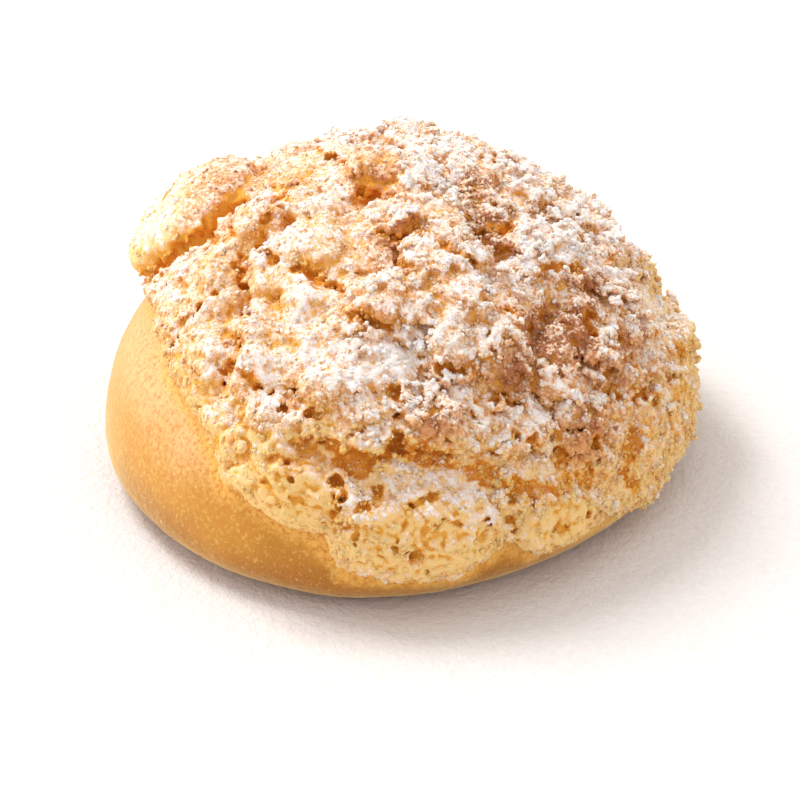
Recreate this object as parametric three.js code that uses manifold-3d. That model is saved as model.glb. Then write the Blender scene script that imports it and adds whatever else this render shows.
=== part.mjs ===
// Coconut-topped sweet bun: a round soft bread bun under a craggy baked coconut cap.
// Millimetres, +Z up. The bun stands on its flat base at the origin, with its bare flank to -X.
import * as THREE from "three";
import { ImprovedNoise } from "three/addons/math/ImprovedNoise.js";
import { mergeVertices } from "three/addons/utils/BufferGeometryUtils.js";
import Module from "manifold-3d";

// Bread: a dome on a flat base, with a rounded under-edge.
const BREAD_RADIUS = 54.1;
const BREAD_HEIGHT = 54;
const WIDEST_HEIGHT = 8; // level of the largest girth
const UNDER_EDGE = 10.5; // how far the base is drawn in from that girth
const FLANK_LEAN = 1.18; // power of the dome's curve: above 1 the flanks lean in
const HEART_HEIGHT = 14; // point on the axis that skin and cap swell away from
const GIRTH_SHARE = 0.56; // share of the way from crown to base centre where the girth lies
const BASE_SHARE = 0.72; // share where the flat base begins
const BREAD_DETAIL = 10;
// Uneven plan of a hand-shaped bun: waves round the girth, each a share of the radius.
const PLAN_WAVES = [
  { turns: 1, share: 0.031, phase: 3.49 },
  { turns: 2, share: 0.022, phase: 4.84 },
  { turns: 3, share: 0.016, phase: 5.56 },
  { turns: 4, share: 0.008, phase: 0.48 },
];

// Cap: thickness over the bread, and the lip that it ends in.
const CAP_GAP = 0.35; // clearance between cap and bread
const LIP_THICKNESS = 2.7;
const LIP_ROUND = 3; // width of the lip's rounded edge
const CROWN_THICKNESS = 7.2;
const CROWN_RISE = [14, 48]; // heights between which the cap grows from lip to crown thickness
const THIN_AZIMUTH = 25; // degrees: the back right shoulder, where the crust baked thinnest
const THIN_SHARE = 0.4;
const THINNEST = 1.6;
const SUNK = -2.5; // below the rim the cap's form stays inside the bread
const SWELL_SIZE = 19; // slow unevenness of the thickness
const SWELL_HEIGHT = 1.4;
const CAP_DETAIL = 27;
// Height of the cap's rim above the table, by azimuth in degrees (0 is +X, 270 the front).
const RIM = [
  [0, 8.5],
  [24, 7],
  [42, 9],
  [62, 14],
  [80, 11],
  [104, 20],
  [128, 18],
  [150, 27],
  [174, 32.5],
  [192, 35],
  [213, 31.5],
  [224, 29],
  [236, 22],
  [253, 17.5],
  [262, 10],
  [280, 8],
  [287, 10],
  [292, 13.5],
  [299, 8.5],
  [318, 8],
  [331, 5.5],
  [343, 8],
];
const RIM_WAVER = 0.7; // extra unevenness of the rim's height
const RIM_WAVER_SIZE = 6;
const LEAST_SLOPE = 0.4; // slope that distance from the rim is counted with on the level crown

// Crags: rounded lumps crowded over the cap, so that creases run between them.
const LUMP_COUNT = 250;
const LUMP_SPREAD = 1.35; // how far down the dome they reach: 1 is the girth
const LUMP_ASTRAY = 0.05;
const LUMP_RADIUS = [3.6, 7.2];
const LUMP_HEIGHT = [1.2, 5];
const LUMP_RUN = 14; // distance from the rim over which lumps reach full height
const FLANK_LUMPS = 0.6; // share of that height low on the flanks
const GRAIN_SIZE = 3.4;
const GRAIN_HEIGHT = 0.7;
// Fissures where the crust tore as the bun rose: places are [azimuth, height].
const FISSURES = [
  {
    half: 2.4,
    depth: 6.4,
    places: [[251, 31], [260, 28.5], [277, 26.5], [290, 26], [309, 21], [321, 14.5], [330, 10]],
  },
  { half: 1.5, depth: 2.6, places: [[258, 15], [257, 21], [255, 30]] },
  { half: 1.4, depth: 2.4, places: [[292, 14], [291, 19], [289, 26]] },
  { half: 1.7, depth: 4.6, places: [[203, 50], [206, 46.5], [219, 43.5], [228, 39], [228, 34]] },
  { half: 2.4, depth: 4, places: [[324, 50.8], [314, 43.5], [304, 33]] },
  { half: 1.8, depth: 3.6, places: [[100, 40], [70, 44], [40, 40], [25, 28]] },
  { half: 1.8, depth: 3.6, places: [[150, 46], [120, 49], [95, 52]] },
];

// Flap: a thick tongue of the cap that lifted at the left shoulder and hangs over the flank.
const FLAP_AZIMUTH = 160;
const FLAP_HEIGHT = 41;
const FLAP_HALF = [15.5, 12.5, 6.8]; // down the slope, along it, and in thickness
const FLAP_LIFT = 5.8; // its middle, above the bread's skin
const FLAP_TILT = 0.14; // radians that its outer end stands away from the slope
const FLAP_DETAIL = 6;
const FLAP_NOISE = 0.09;
const FLAP_BUMPS = [0.7, 0.33]; // sizes of its bumps, as shares of its half sizes

const SEED = 26;
// Places in the noise that each kind of unevenness is taken from.
const NOISE_PLACE = { rim: 3.7, swell: 6.1, grain: 9.3, flap: 5.1 };
const BREAD_COLOUR = 0xd99a3e;
const BREAD_ROUGHNESS = 0.55;
const CAP_COLOUR = 0xe2b98a;
const CAP_ROUGHNESS = 0.9;

const UP = new THREE.Vector3(0, 0, 1);
const HEART = new THREE.Vector3(0, 0, HEART_HEIGHT);
const THIN_SIDE = new THREE.Vector3(1, 0, 0).applyAxisAngle(UP, THREE.MathUtils.degToRad(THIN_AZIMUTH));
const GOLDEN_ANGLE = Math.PI * (3 - Math.sqrt(5));
const noise = new ImprovedNoise();
const random = randomFrom(SEED);
const wasm = await Module();
wasm.setup();

/** Seeded random numbers from 0 to 1. */
function randomFrom(seed) {
  let state = seed >>> 0;
  return () => {
    state = (state + 0x6d2b79f5) >>> 0;
    let mixed = Math.imul(state ^ (state >>> 15), 1 | state);
    mixed = (mixed + Math.imul(mixed ^ (mixed >>> 7), 61 | mixed)) ^ mixed;
    return ((mixed ^ (mixed >>> 14)) >>> 0) / 2 ** 32;
  };
}

/** A random number in a range. */
function between([low, high]) {
  return THREE.MathUtils.lerp(low, high, random());
}

/** Smooth noise of about -1 to 1, with features `size` across, taken from one place in the noise. */
function grain(point, size, place) {
  return noise.noise(point.x / size + place, point.y / size - place, point.z / size + 2 * place);
}

/** Plan radius of the bread at an azimuth in radians. */
function planRadius(azimuth) {
  const waves = PLAN_WAVES.map(({ turns, share, phase }) => share * Math.cos(turns * azimuth + phase));
  return BREAD_RADIUS * waves.reduce((sum, wave) => sum + wave, 1);
}

/** Point of the bread's skin at an azimuth, and at a share of the way from crown to base centre. */
function skinAt(azimuth, share) {
  let out = 1;
  let inset = 0;
  let height = WIDEST_HEIGHT;
  if (share < GIRTH_SHARE) {
    const angle = ((share / GIRTH_SHARE) * Math.PI) / 2;
    out = Math.sin(angle) ** FLANK_LEAN;
    height += (BREAD_HEIGHT - WIDEST_HEIGHT) * Math.cos(angle);
  } else if (share < BASE_SHARE) {
    const angle = (((share - GIRTH_SHARE) / (BASE_SHARE - GIRTH_SHARE)) * Math.PI) / 2;
    inset = UNDER_EDGE * (1 - Math.cos(angle));
    height *= 1 - Math.sin(angle);
  } else {
    out = (1 - share) / (1 - BASE_SHARE);
    inset = UNDER_EDGE * out;
    height = 0;
  }
  const radius = planRadius(azimuth) * out - inset;
  return new THREE.Vector3(radius * Math.cos(azimuth), radius * Math.sin(azimuth), height);
}

/** Point of the bread's skin for a direction on the unit sphere. */
function skinPoint(direction) {
  const share = Math.acos(THREE.MathUtils.clamp(direction.z, -1, 1)) / Math.PI;
  return skinAt(Math.atan2(direction.y, direction.x), share);
}

/** Point of the upper skin at an azimuth in degrees and a height above the table. */
function skinAtHeight(azimuth, height) {
  const rise = (height - WIDEST_HEIGHT) / (BREAD_HEIGHT - WIDEST_HEIGHT);
  const angle = Math.acos(THREE.MathUtils.clamp(rise, 0, 1));
  return skinAt(THREE.MathUtils.degToRad(azimuth), (GIRTH_SHARE * angle) / (Math.PI / 2));
}

/** Skin points spread evenly over the dome by the golden angle, from the crown down. */
function spreadOverDome(count, reach) {
  return Array.from({ length: count }, (_, i) => {
    const rise = 1 - (reach * (i + 0.5)) / count;
    const direction = new THREE.Vector3(Math.sqrt(1 - rise * rise), 0, rise);
    direction.applyAxisAngle(UP, GOLDEN_ANGLE * i);
    direction.x += LUMP_ASTRAY * (2 * random() - 1);
    direction.y += LUMP_ASTRAY * (2 * random() - 1);
    return skinPoint(direction.normalize());
  });
}

/** Direction in which skin and cap swell at a point. */
function outward(point) {
  return point.clone().sub(HEART).normalize();
}

/** Height of the cap's rim at an azimuth in radians, eased between the named places. */
function rimHeight(azimuth) {
  const angle = THREE.MathUtils.euclideanModulo(THREE.MathUtils.radToDeg(azimuth), 360);
  const round = [...RIM, [360, RIM[0][1]]];
  const next = round.findIndex(([place]) => place > angle);
  const [startAngle, startHeight] = round[next - 1];
  const [endAngle, endHeight] = round[next];
  const share = THREE.MathUtils.smoothstep(angle, startAngle, endAngle);
  return THREE.MathUtils.lerp(startHeight, endHeight, share);
}

/** Distance along the skin from the cap's rim, positive under the cap. */
function fromRim(point) {
  const waver = RIM_WAVER * grain(point, RIM_WAVER_SIZE, NOISE_PLACE.rim);
  const rim = rimHeight(Math.atan2(point.y, point.x)) + waver;
  const away = outward(point);
  return (point.z - rim) / Math.max(LEAST_SLOPE, Math.hypot(away.x, away.y));
}

/** Height of the crags over a skin point: the tallest lump there. */
function cragHeight(point, lumps) {
  return lumps.reduce((tallest, { centre, radius, height }) => {
    const share = point.distanceTo(centre) / radius;
    return share < 1 ? Math.max(tallest, height * Math.sqrt(1 - share * share)) : tallest;
  }, 0);
}

/** Depth that the fissures cut at a skin point. */
function fissureDepth(point, fissures) {
  const nearest = new THREE.Vector3();
  const gapTo = (line) => line.closestPointToPoint(point, true, nearest).distanceTo(point);
  return fissures.reduce((deepest, { half, depth, lines }) => {
    const gap = Math.min(...lines.map(gapTo));
    return Math.max(deepest, depth * Math.exp(-((gap / half) ** 2)));
  }, 0);
}

/** A fissure's places as lines laid on the skin. */
function layFissure({ half, depth, places }) {
  const laid = places.map(([azimuth, height]) => skinAtHeight(azimuth, height));
  return { half, depth, lines: laid.slice(1).map((end, i) => new THREE.Line3(laid[i], end)) };
}

/** Thickness of the cap over a skin point. */
function capThickness(point, lumps, fissures) {
  const distance = fromRim(point);
  if (distance <= 0) return SUNK;
  const lip = Math.sqrt(1 - (1 - Math.min(distance / LIP_ROUND, 1)) ** 2);
  const grown = THREE.MathUtils.smoothstep(point.z, ...CROWN_RISE);
  const inland = THREE.MathUtils.smoothstep(distance, 0, LUMP_RUN);
  const craggy = inland * THREE.MathUtils.lerp(FLANK_LUMPS, 1, grown);
  const crags = cragHeight(point, lumps) - LUMP_HEIGHT[0] - fissureDepth(point, fissures);
  const swell = SWELL_HEIGHT * grown * grain(point, SWELL_SIZE, NOISE_PLACE.swell);
  const relief = swell + craggy * crags + GRAIN_HEIGHT * grain(point, GRAIN_SIZE, NOISE_PLACE.grain);
  const crown = CROWN_THICKNESS * (1 - THIN_SHARE * Math.max(0, outward(point).dot(THIN_SIDE)));
  return lip * Math.max(THINNEST, THREE.MathUtils.lerp(LIP_THICKNESS, crown, grown) + relief);
}

/** A closed ball of even triangles, each vertex put where `place` sends its direction. */
function mouldedBall(detail, place) {
  const ball = new THREE.IcosahedronGeometry(1, detail);
  ball.deleteAttribute("normal");
  ball.deleteAttribute("uv");
  const moulded = mergeVertices(ball);
  const positions = moulded.getAttribute("position");
  for (let i = 0; i < positions.count; i += 1) {
    const direction = new THREE.Vector3().fromBufferAttribute(positions, i).normalize();
    positions.setXYZ(i, ...place(direction).toArray());
  }
  return moulded;
}

/** The bread's skin, swollen by a clearance. */
function breadGeometry(clearance = 0) {
  return mouldedBall(BREAD_DETAIL, (direction) => {
    const point = skinPoint(direction);
    return point.addScaledVector(outward(point), clearance);
  });
}

/** The cap's outer form, closed through the bread. */
function capGeometry(lumps, fissures) {
  return mouldedBall(CAP_DETAIL, (direction) => {
    const point = skinPoint(direction);
    return point.addScaledVector(outward(point), capThickness(point, lumps, fissures));
  });
}

/** The lifted tongue at the left shoulder. */
function flapGeometry() {
  const seat = skinAtHeight(FLAP_AZIMUTH, FLAP_HEIGHT);
  const up = outward(seat);
  const along = UP.clone().cross(up).normalize();
  const down = along.clone().cross(up);
  const stance = new THREE.Matrix4().makeBasis(down, along, up);
  stance.multiply(new THREE.Matrix4().makeRotationY(-FLAP_TILT));
  stance.setPosition(seat.addScaledVector(up, FLAP_LIFT));
  const half = new THREE.Vector3(...FLAP_HALF);
  return mouldedBall(FLAP_DETAIL, (direction) => {
    const bumps = FLAP_BUMPS.map((size) => FLAP_NOISE * grain(direction, size, NOISE_PLACE.flap));
    const swell = bumps.reduce((sum, bump) => sum + bump, 1);
    return direction.multiplyScalar(swell).multiply(half).applyMatrix4(stance);
  });
}

/** A closed geometry as a solid for joining and cutting. */
function solidOf(geometry) {
  const mesh = new wasm.Mesh({
    numProp: 3,
    vertProperties: new Float32Array(geometry.getAttribute("position").array),
    triVerts: new Uint32Array(geometry.index.array),
  });
  return new wasm.Manifold(mesh);
}

/** The largest body of a solid as a geometry, with loose scraps dropped. */
function geometryOf(solid) {
  const bodies = solid.decompose().sort((a, b) => b.volume() - a.volume());
  const mesh = bodies[0].getMesh();
  const geometry = new THREE.BufferGeometry();
  geometry.setAttribute("position", new THREE.BufferAttribute(new Float32Array(mesh.vertProperties), 3));
  geometry.setIndex(new THREE.BufferAttribute(new Uint32Array(mesh.triVerts), 1));
  geometry.computeVertexNormals();
  return geometry;
}

/** The coconut cap: crags and flap in one piece, hollowed to sit on the bread. */
function coconutCap() {
  const lumps = spreadOverDome(LUMP_COUNT, LUMP_SPREAD).map((centre) => {
    return { centre, radius: between(LUMP_RADIUS), height: between(LUMP_HEIGHT) };
  });
  const fissures = FISSURES.map(layFissure);
  const outer = solidOf(capGeometry(lumps, fissures)).add(solidOf(flapGeometry()));
  return geometryOf(outer.subtract(solidOf(breadGeometry(CAP_GAP))));
}

/** A named mesh of one baked stuff. */
function bakedMesh(name, geometry, color, roughness) {
  const mesh = new THREE.Mesh(geometry, new THREE.MeshStandardMaterial({ color, roughness, metalness: 0 }));
  mesh.name = name;
  return mesh;
}

const sweetBun = new THREE.Group();
const bread = breadGeometry();
bread.computeVertexNormals();
sweetBun.add(bakedMesh("bread", bread, BREAD_COLOUR, BREAD_ROUGHNESS));
sweetBun.add(bakedMesh("coconut_cap", coconutCap(), CAP_COLOUR, CAP_ROUGHNESS));

// The bun's box is centred over the origin, whatever the crags add on one side.
const middle = new THREE.Box3().setFromObject(sweetBun).getCenter(new THREE.Vector3());
for (const mesh of sweetBun.children) mesh.position.set(-middle.x, -middle.y, 0);

export default sweetBun;
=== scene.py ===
"""Looks of a coconut-topped sweet bun: golden bread, a craggy coconut crust, loose crumbs and icing sugar."""

import itertools
import logging
import math
from dataclasses import dataclass, field, replace
from enum import Enum
from functools import partial
from typing import Callable, Iterable, Union

import bpy
import numpy as np
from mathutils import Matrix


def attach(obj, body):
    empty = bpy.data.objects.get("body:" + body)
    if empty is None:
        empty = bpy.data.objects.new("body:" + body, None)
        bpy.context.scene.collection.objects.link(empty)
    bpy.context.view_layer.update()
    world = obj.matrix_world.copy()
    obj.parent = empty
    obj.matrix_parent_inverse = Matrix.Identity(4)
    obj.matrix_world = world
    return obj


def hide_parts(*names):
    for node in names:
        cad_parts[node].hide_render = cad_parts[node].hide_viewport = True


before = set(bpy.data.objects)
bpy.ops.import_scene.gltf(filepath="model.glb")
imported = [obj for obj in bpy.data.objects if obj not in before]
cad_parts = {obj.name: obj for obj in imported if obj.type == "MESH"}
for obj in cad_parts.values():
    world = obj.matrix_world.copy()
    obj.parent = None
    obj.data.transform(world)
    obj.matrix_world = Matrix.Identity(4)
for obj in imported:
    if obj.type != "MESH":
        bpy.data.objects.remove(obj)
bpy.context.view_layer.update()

import openvdb as vdb
from mathutils import Vector

LOG = logging.getLogger("sweet_bun")
Array = np.ndarray
Span = tuple[float, float]
Ball = tuple[Array, float]

MM = 0.001
TINY = 1e-6


# Names that the pieces and their finishes share


class Slot(Enum):
    """The record's material slots."""

    BREAD = "bread_skin"
    CRUST = "coconut_crust"
    SUGAR = "icing_sugar"


class Mark(Enum):
    """Names of the values that a mesh carries on its vertices for its finish."""

    TOAST = "toast"
    # Painted shade and glow: golden colour in dips, tears and on shaded sides.
    HOLLOW_SHADE = "hollow_shade"
    # Painted shade and glow: orange colour far down between clumps, in cracks, tears and on shaded sides.
    CAVE_SHADE = "cave_shade"
    DUST = "dust"
    # A golden band on the bread beside the crust: partly glaze colour, partly painted shade.
    STAIN_AND_SHADE = "stain_and_shade"


def ease(low: float, high: float, values: Array) -> Array:
    """Rise smoothly from 0 at low to 1 at high.

    Args:
        low: The value that gives 0.
        high: The value that gives 1; it may be the smaller of the two.
        values: The values to ease.

    Returns:
        Numbers from 0 to 1.
    """
    share = np.clip((values - low) / (high - low), 0.0, 1.0)
    return share * share * (3.0 - 2.0 * share)


@dataclass(frozen=True)
class Shade:
    """A colour as it reads on a screen, each part from 0 to 255."""

    red: float
    green: float
    blue: float

    def linear(self) -> tuple[float, float, float, float]:
        """Give the colour as light, with full alpha."""
        parts = [part / 255 for part in (self.red, self.green, self.blue)]
        return (*[p / 12.92 if p <= 0.04045 else ((p + 0.055) / 1.055) ** 2.4 for p in parts], 1.0)


Value = Union[bpy.types.NodeSocket, Shade, float, tuple]
Inputs = dict[Union[str, int], Value]


# Noise in space


class LatticeNoise:
    """A random choice for each cell of a cubic lattice, the same for the same seed."""

    TABLE = 256

    def __init__(self, seed: int) -> None:
        """Shuffle the lattice.

        Args:
            seed: The number that fixes every choice.
        """
        self.rng = np.random.default_rng(seed)
        self.order = np.tile(self.rng.permutation(self.TABLE), 2).astype(np.int32)

    def pick(self, cells: Array) -> Array:
        """Choose a table row for each cell.

        Args:
            cells: Whole-number cell places, one row each.

        Returns:
            Row numbers, one for each cell.
        """
        wrapped = cells & (self.TABLE - 1)
        first = self.order[wrapped[:, 0]]
        second = self.order[first + wrapped[:, 1]]
        return self.order[second + wrapped[:, 2]]


class SmoothNoise(LatticeNoise):
    """Rolling noise in space, from about -1 to 1."""

    GAIN = 1.6

    def __init__(self, seed: int, ways: int = 1) -> None:
        """Draw slopes for each row of the table.

        Args:
            seed: The number that fixes every slope.
            ways: How many numbers the noise gives for each place.
        """
        super().__init__(seed)
        slopes = self.rng.normal(size=(self.TABLE, 3, ways))
        self.slopes = (slopes / np.linalg.norm(slopes, axis=1, keepdims=True)).astype(np.float32)

    def at(self, points: Array, size: float) -> Array:
        """Read the noise.

        Args:
            points: Places in millimetres, one row each.
            size: The width of one lattice cell in millimetres.

        Returns:
            One number for each place, or one row where the noise has several ways.
        """
        place = points / size
        cells = np.floor(place).astype(np.int32)
        part = (place - cells).astype(np.float32)
        fade = part**3 * (part * (part * 6 - 15) + 10)
        total = np.zeros((len(points), self.slopes.shape[2]), np.float32)
        for step in itertools.product((0, 1), repeat=3):
            slopes = self.slopes[self.pick(cells + step)]
            share = np.prod([fade[:, k] if step[k] else 1 - fade[:, k] for k in range(3)], axis=0)
            for axis in range(3):
                total += (share * (part[:, axis] - step[axis]))[:, None] * slopes[:, axis]
        return np.squeeze(total, axis=1) * self.GAIN if total.shape[1] == 1 else total * self.GAIN


class CellNoise(LatticeNoise):
    """Distance to the nearest of many scattered grains, 0 at a grain and about 1 far from any."""

    FAR = 9.0

    def __init__(self, seed: int) -> None:
        """Draw a grain's place in its cell for each row of the table.

        Args:
            seed: The number that fixes every grain.
        """
        super().__init__(seed)
        self.grains = self.rng.random((self.TABLE, 3)).astype(np.float32)

    def at(self, points: Array, size: float) -> Array:
        """Read the distance, in cells.

        Args:
            points: Places in millimetres, one row each.
            size: The width of one lattice cell in millimetres.

        Returns:
            One number for each place.
        """
        place = points / size
        cells = np.floor(place).astype(np.int32)
        part = (place - cells).astype(np.float32)
        nearest = np.full(len(points), self.FAR, np.float32)
        for step in itertools.product((-1, 0, 1), repeat=3):
            gap = self.grains[self.pick(cells + step)] + np.array(step, np.float32) - part
            nearest = np.minimum(nearest, np.einsum("ij,ij->i", gap, gap))
        return np.sqrt(nearest)


@dataclass(frozen=True)
class Wave:
    """Rolling noise of one width in millimetres and one height, moved aside so that two waves differ."""

    size: float
    height: float = 1.0
    shift: float = 0.0

    def at(self, noise: SmoothNoise, points: Array) -> Array:
        """Read it at places in millimetres, one row each."""
        return self.height * noise.at(points + self.shift, self.size)


@dataclass(frozen=True)
class GrainBed:
    """A bed of rounded grains: their width and depth in millimetres, and how much of it stands proud."""

    size: float
    depth: float
    proud: float

    def at(self, noise: CellNoise, points: Array) -> Array:
        """Give its height over a plain surface at places in millimetres, one row each."""
        return self.depth * (self.proud - noise.at(points, self.size) ** 2)


# Shapes on voxels, and meshes


@dataclass
class VoxelBlock:
    """A closed shape as distances to its surface on a block of voxels, negative inside, in millimetres."""

    values: Array
    corner: Array
    pitch: float

    EDGE = 4
    LAST_CELL = 1.001

    @classmethod
    def from_solid(cls, solid: bpy.types.Object, pitch: float, reach: float) -> "VoxelBlock":
        """Fill a block from a closed mesh.

        Args:
            solid: The mesh object, in metres.
            pitch: The voxel's width in millimetres.
            reach: How far from the surface distances are kept, in millimetres.

        Returns:
            The block, with a few empty voxels round the shape.
        """
        mesh = solid.data
        mesh.calc_loop_triangles()
        points = np.empty(len(mesh.vertices) * 3, np.float32)
        mesh.vertices.foreach_get("co", points)
        corners = np.empty(len(mesh.loop_triangles) * 3, np.int32)
        mesh.loop_triangles.foreach_get("vertices", corners)
        grid = vdb.FloatGrid.createLevelSetFromPolygons(
            points.reshape(-1, 3) / MM,
            triangles=corners.reshape(-1, 3).astype(np.uint32),
            transform=vdb.createLinearTransform(voxelSize=pitch),
            halfWidth=reach / pitch,
        )
        low, high = (np.array(end) for end in grid.evalActiveVoxelBoundingBox())
        low, high = low - cls.EDGE, high + cls.EDGE + 1
        values = np.empty(high - low, np.float32)
        grid.copyToArray(values, ijk=tuple(int(step) for step in low))
        return cls(values, low * pitch, pitch)

    def places(self, chosen: Array) -> Array:
        """Give the places of some voxels.

        Args:
            chosen: A mask over the block.

        Returns:
            Places in millimetres, one row for each chosen voxel.
        """
        return (np.argwhere(chosen) * self.pitch + self.corner).astype(np.float32)

    def at(self, points: Array) -> Array:
        """Read the distance between voxels.

        Args:
            points: Places in millimetres, one row each; outside the block the nearest edge counts.

        Returns:
            One distance for each place.
        """
        place = (points - self.corner) / self.pitch
        place = np.clip(place, 0, np.array(self.values.shape) - self.LAST_CELL)
        cells = place.astype(np.int64)
        part = (place - cells).astype(np.float32)
        total = np.zeros(len(points), np.float32)
        for step in itertools.product((0, 1), repeat=3):
            share = np.prod(np.where(step, part, 1 - part), axis=1)
            total += share * self.values[tuple((cells + step).T)]
        return total

    def slope(self, points: Array, reach: float) -> Array:
        """Give the outward direction at some places.

        Args:
            points: Places in millimetres, one row each.
            reach: The distance over which the slope is read, in millimetres.

        Returns:
            Unit directions, one row each.
        """
        steps = np.eye(3) * reach
        rise = np.stack([self.at(points + step) - self.at(points - step) for step in steps], axis=1)
        return rise / np.maximum(np.linalg.norm(rise, axis=1, keepdims=True), TINY)

    def blurred(self, radius: float, passes: int = 3) -> "VoxelBlock":
        """Average each voxel with its neighbours.

        Args:
            radius: Half the width of one pass, in millimetres.
            passes: How often the average is taken.

        Returns:
            A softened copy.
        """
        half = max(1, round(radius / self.pitch))
        width = 2 * half + 1
        values = self.values
        for axis in list(range(3)) * passes:
            turned = np.moveaxis(values, axis, 0)
            run = np.cumsum(np.pad(turned, [(half + 1, half), (0, 0), (0, 0)], mode="edge"), axis=0)
            values = np.moveaxis((run[width:] - run[:-width]) / width, 0, axis)
        return VoxelBlock(np.ascontiguousarray(values), self.corner, self.pitch)

    def window(self, centre: Array, reach: float) -> tuple[tuple[slice, ...], Array]:
        """Choose the voxels round a place.

        Args:
            centre: The place in millimetres.
            reach: Half the width of the window in millimetres.

        Returns:
            Where they are in the block, and their places in millimetres.
        """
        low = np.floor((centre - reach - self.corner) / self.pitch).astype(int).clip(0)
        high = np.minimum(np.ceil((centre + reach - self.corner) / self.pitch).astype(int), self.values.shape)
        lines = [np.arange(first, last) * self.pitch for first, last in zip(low, high)]
        places = np.stack(np.meshgrid(*lines, indexing="ij"), axis=-1) + self.corner
        return tuple(slice(first, last) for first, last in zip(low, high)), places

    def dig(self, centre: Array, radius: float) -> None:
        """Cut a ball out of the shape.

        Args:
            centre: The ball's middle in millimetres.
            radius: Its radius in millimetres.
        """
        part, places = self.window(centre, radius + 3 * self.pitch)
        self.values[part] = np.maximum(self.values[part], radius - np.linalg.norm(places - centre, axis=-1))

    def join(self, centre: Array, reach: float, distance: Callable[[Array], Array]) -> None:
        """Add another shape to this one.

        Args:
            centre: The other shape's middle in millimetres.
            reach: How far it reaches from there, in millimetres.
            distance: Gives the distance to it for places, one row each.
        """
        part, places = self.window(centre, reach)
        other = distance(places.reshape(-1, 3)).reshape(places.shape[:3])
        self.values[part] = np.minimum(self.values[part], other)

    def over(self, other: "VoxelBlock", gap: float) -> "VoxelBlock":
        """Fill in the shape below, from a block with the same pitch.

        Args:
            other: The block of the shape below.
            gap: How much larger that shape is made, in millimetres.

        Returns:
            A copy with both shapes.
        """
        shift = np.round((other.corner - self.corner) / self.pitch).astype(int)
        low, high = np.maximum(shift, 0), np.minimum(shift + other.values.shape, self.values.shape)
        mine = tuple(slice(first, last) for first, last in zip(low, high))
        theirs = tuple(slice(first, last) for first, last in zip(low - shift, high - shift))
        values = self.values.copy()
        values[mine] = np.minimum(values[mine], other.values[theirs] - gap)
        return VoxelBlock(values, self.corner, self.pitch)

    def skin(self, flatness: float) -> tuple[Array, Array]:
        """Mesh the surface and keep its largest closed shell.

        Args:
            flatness: 0 keeps every facet; more lets flat places have larger ones.

        Returns:
            Vertices in millimetres and triangles.
        """
        grid = vdb.FloatGrid(float(self.values.max()))
        grid.copyFromArray(self.values)
        grid.transform = vdb.createLinearTransform(voxelSize=self.pitch)
        points, triangles, quads = grid.convertToPolygons(isovalue=0.0, adaptivity=flatness)
        halves = np.concatenate([triangles, quads[:, [0, 1, 2]], quads[:, [0, 2, 3]]]).astype(np.int64)
        return largest_shell(points + self.corner.astype(np.float32), halves[:, ::-1])


def ball_distance(centre: Array, radius: float, points: Array) -> Array:
    """Give the distance of places to a ball's surface, negative inside."""
    return np.linalg.norm(points - centre, axis=1) - radius


def largest_shell(points: Array, triangles: Array) -> tuple[Array, Array]:
    """Drop every loose scrap of a mesh.

    Args:
        points: Vertices, one row each.
        triangles: Vertex numbers, one row each.

    Returns:
        The vertices and triangles of the shell with the most vertices.
    """
    label = np.arange(len(points))
    while True:
        lower = label.copy()
        np.minimum.at(lower, triangles.ravel(), np.repeat(label[triangles].min(axis=1), 3))
        lower = lower[lower]
        if np.array_equal(lower, label):
            break
        label = lower
    kept = label == np.bincount(label).argmax()
    number = np.cumsum(kept) - 1
    return points[kept], number[triangles[kept[triangles[:, 0]]]]


def thinned(points: Array, triangles: Array, most: int) -> tuple[Array, Array]:
    """Give flat places larger triangles until a mesh has few enough.

    Args:
        points: Vertices in millimetres, one row each.
        triangles: Vertex numbers, one row each.
        most: How many triangles may stay.

    Returns:
        The thinned vertices and triangles.
    """
    mesh = bpy.data.meshes.new("thinning")
    mesh.from_pydata(points.tolist(), [], triangles.tolist())
    holder = bpy.data.objects.new("thinning", mesh)
    bpy.context.scene.collection.objects.link(holder)
    holder.modifiers.new("thinning", "DECIMATE").ratio = min(1.0, most / len(triangles))
    thin = holder.evaluated_get(bpy.context.evaluated_depsgraph_get()).to_mesh()
    thin.calc_loop_triangles()
    corners = np.empty(len(thin.vertices) * 3, np.float32)
    thin.vertices.foreach_get("co", corners)
    faces = np.empty(len(thin.loop_triangles) * 3, np.int32)
    thin.loop_triangles.foreach_get("vertices", faces)
    bpy.data.objects.remove(holder)
    bpy.data.meshes.remove(mesh)
    return corners.reshape(-1, 3), faces.reshape(-1, 3)


def face_areas(points: Array, triangles: Array) -> tuple[Array, Array]:
    """Measure triangles.

    Args:
        points: Vertices, one row each.
        triangles: Vertex numbers, one row each.

    Returns:
        Areas, and unit normals one row each.
    """
    first, second, third = (points[triangles[:, side]] for side in range(3))
    cross = np.cross(second - first, third - first)
    length = np.linalg.norm(cross, axis=1)
    return length / 2, cross / np.maximum(length, TINY)[:, None]


# Materials


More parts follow.
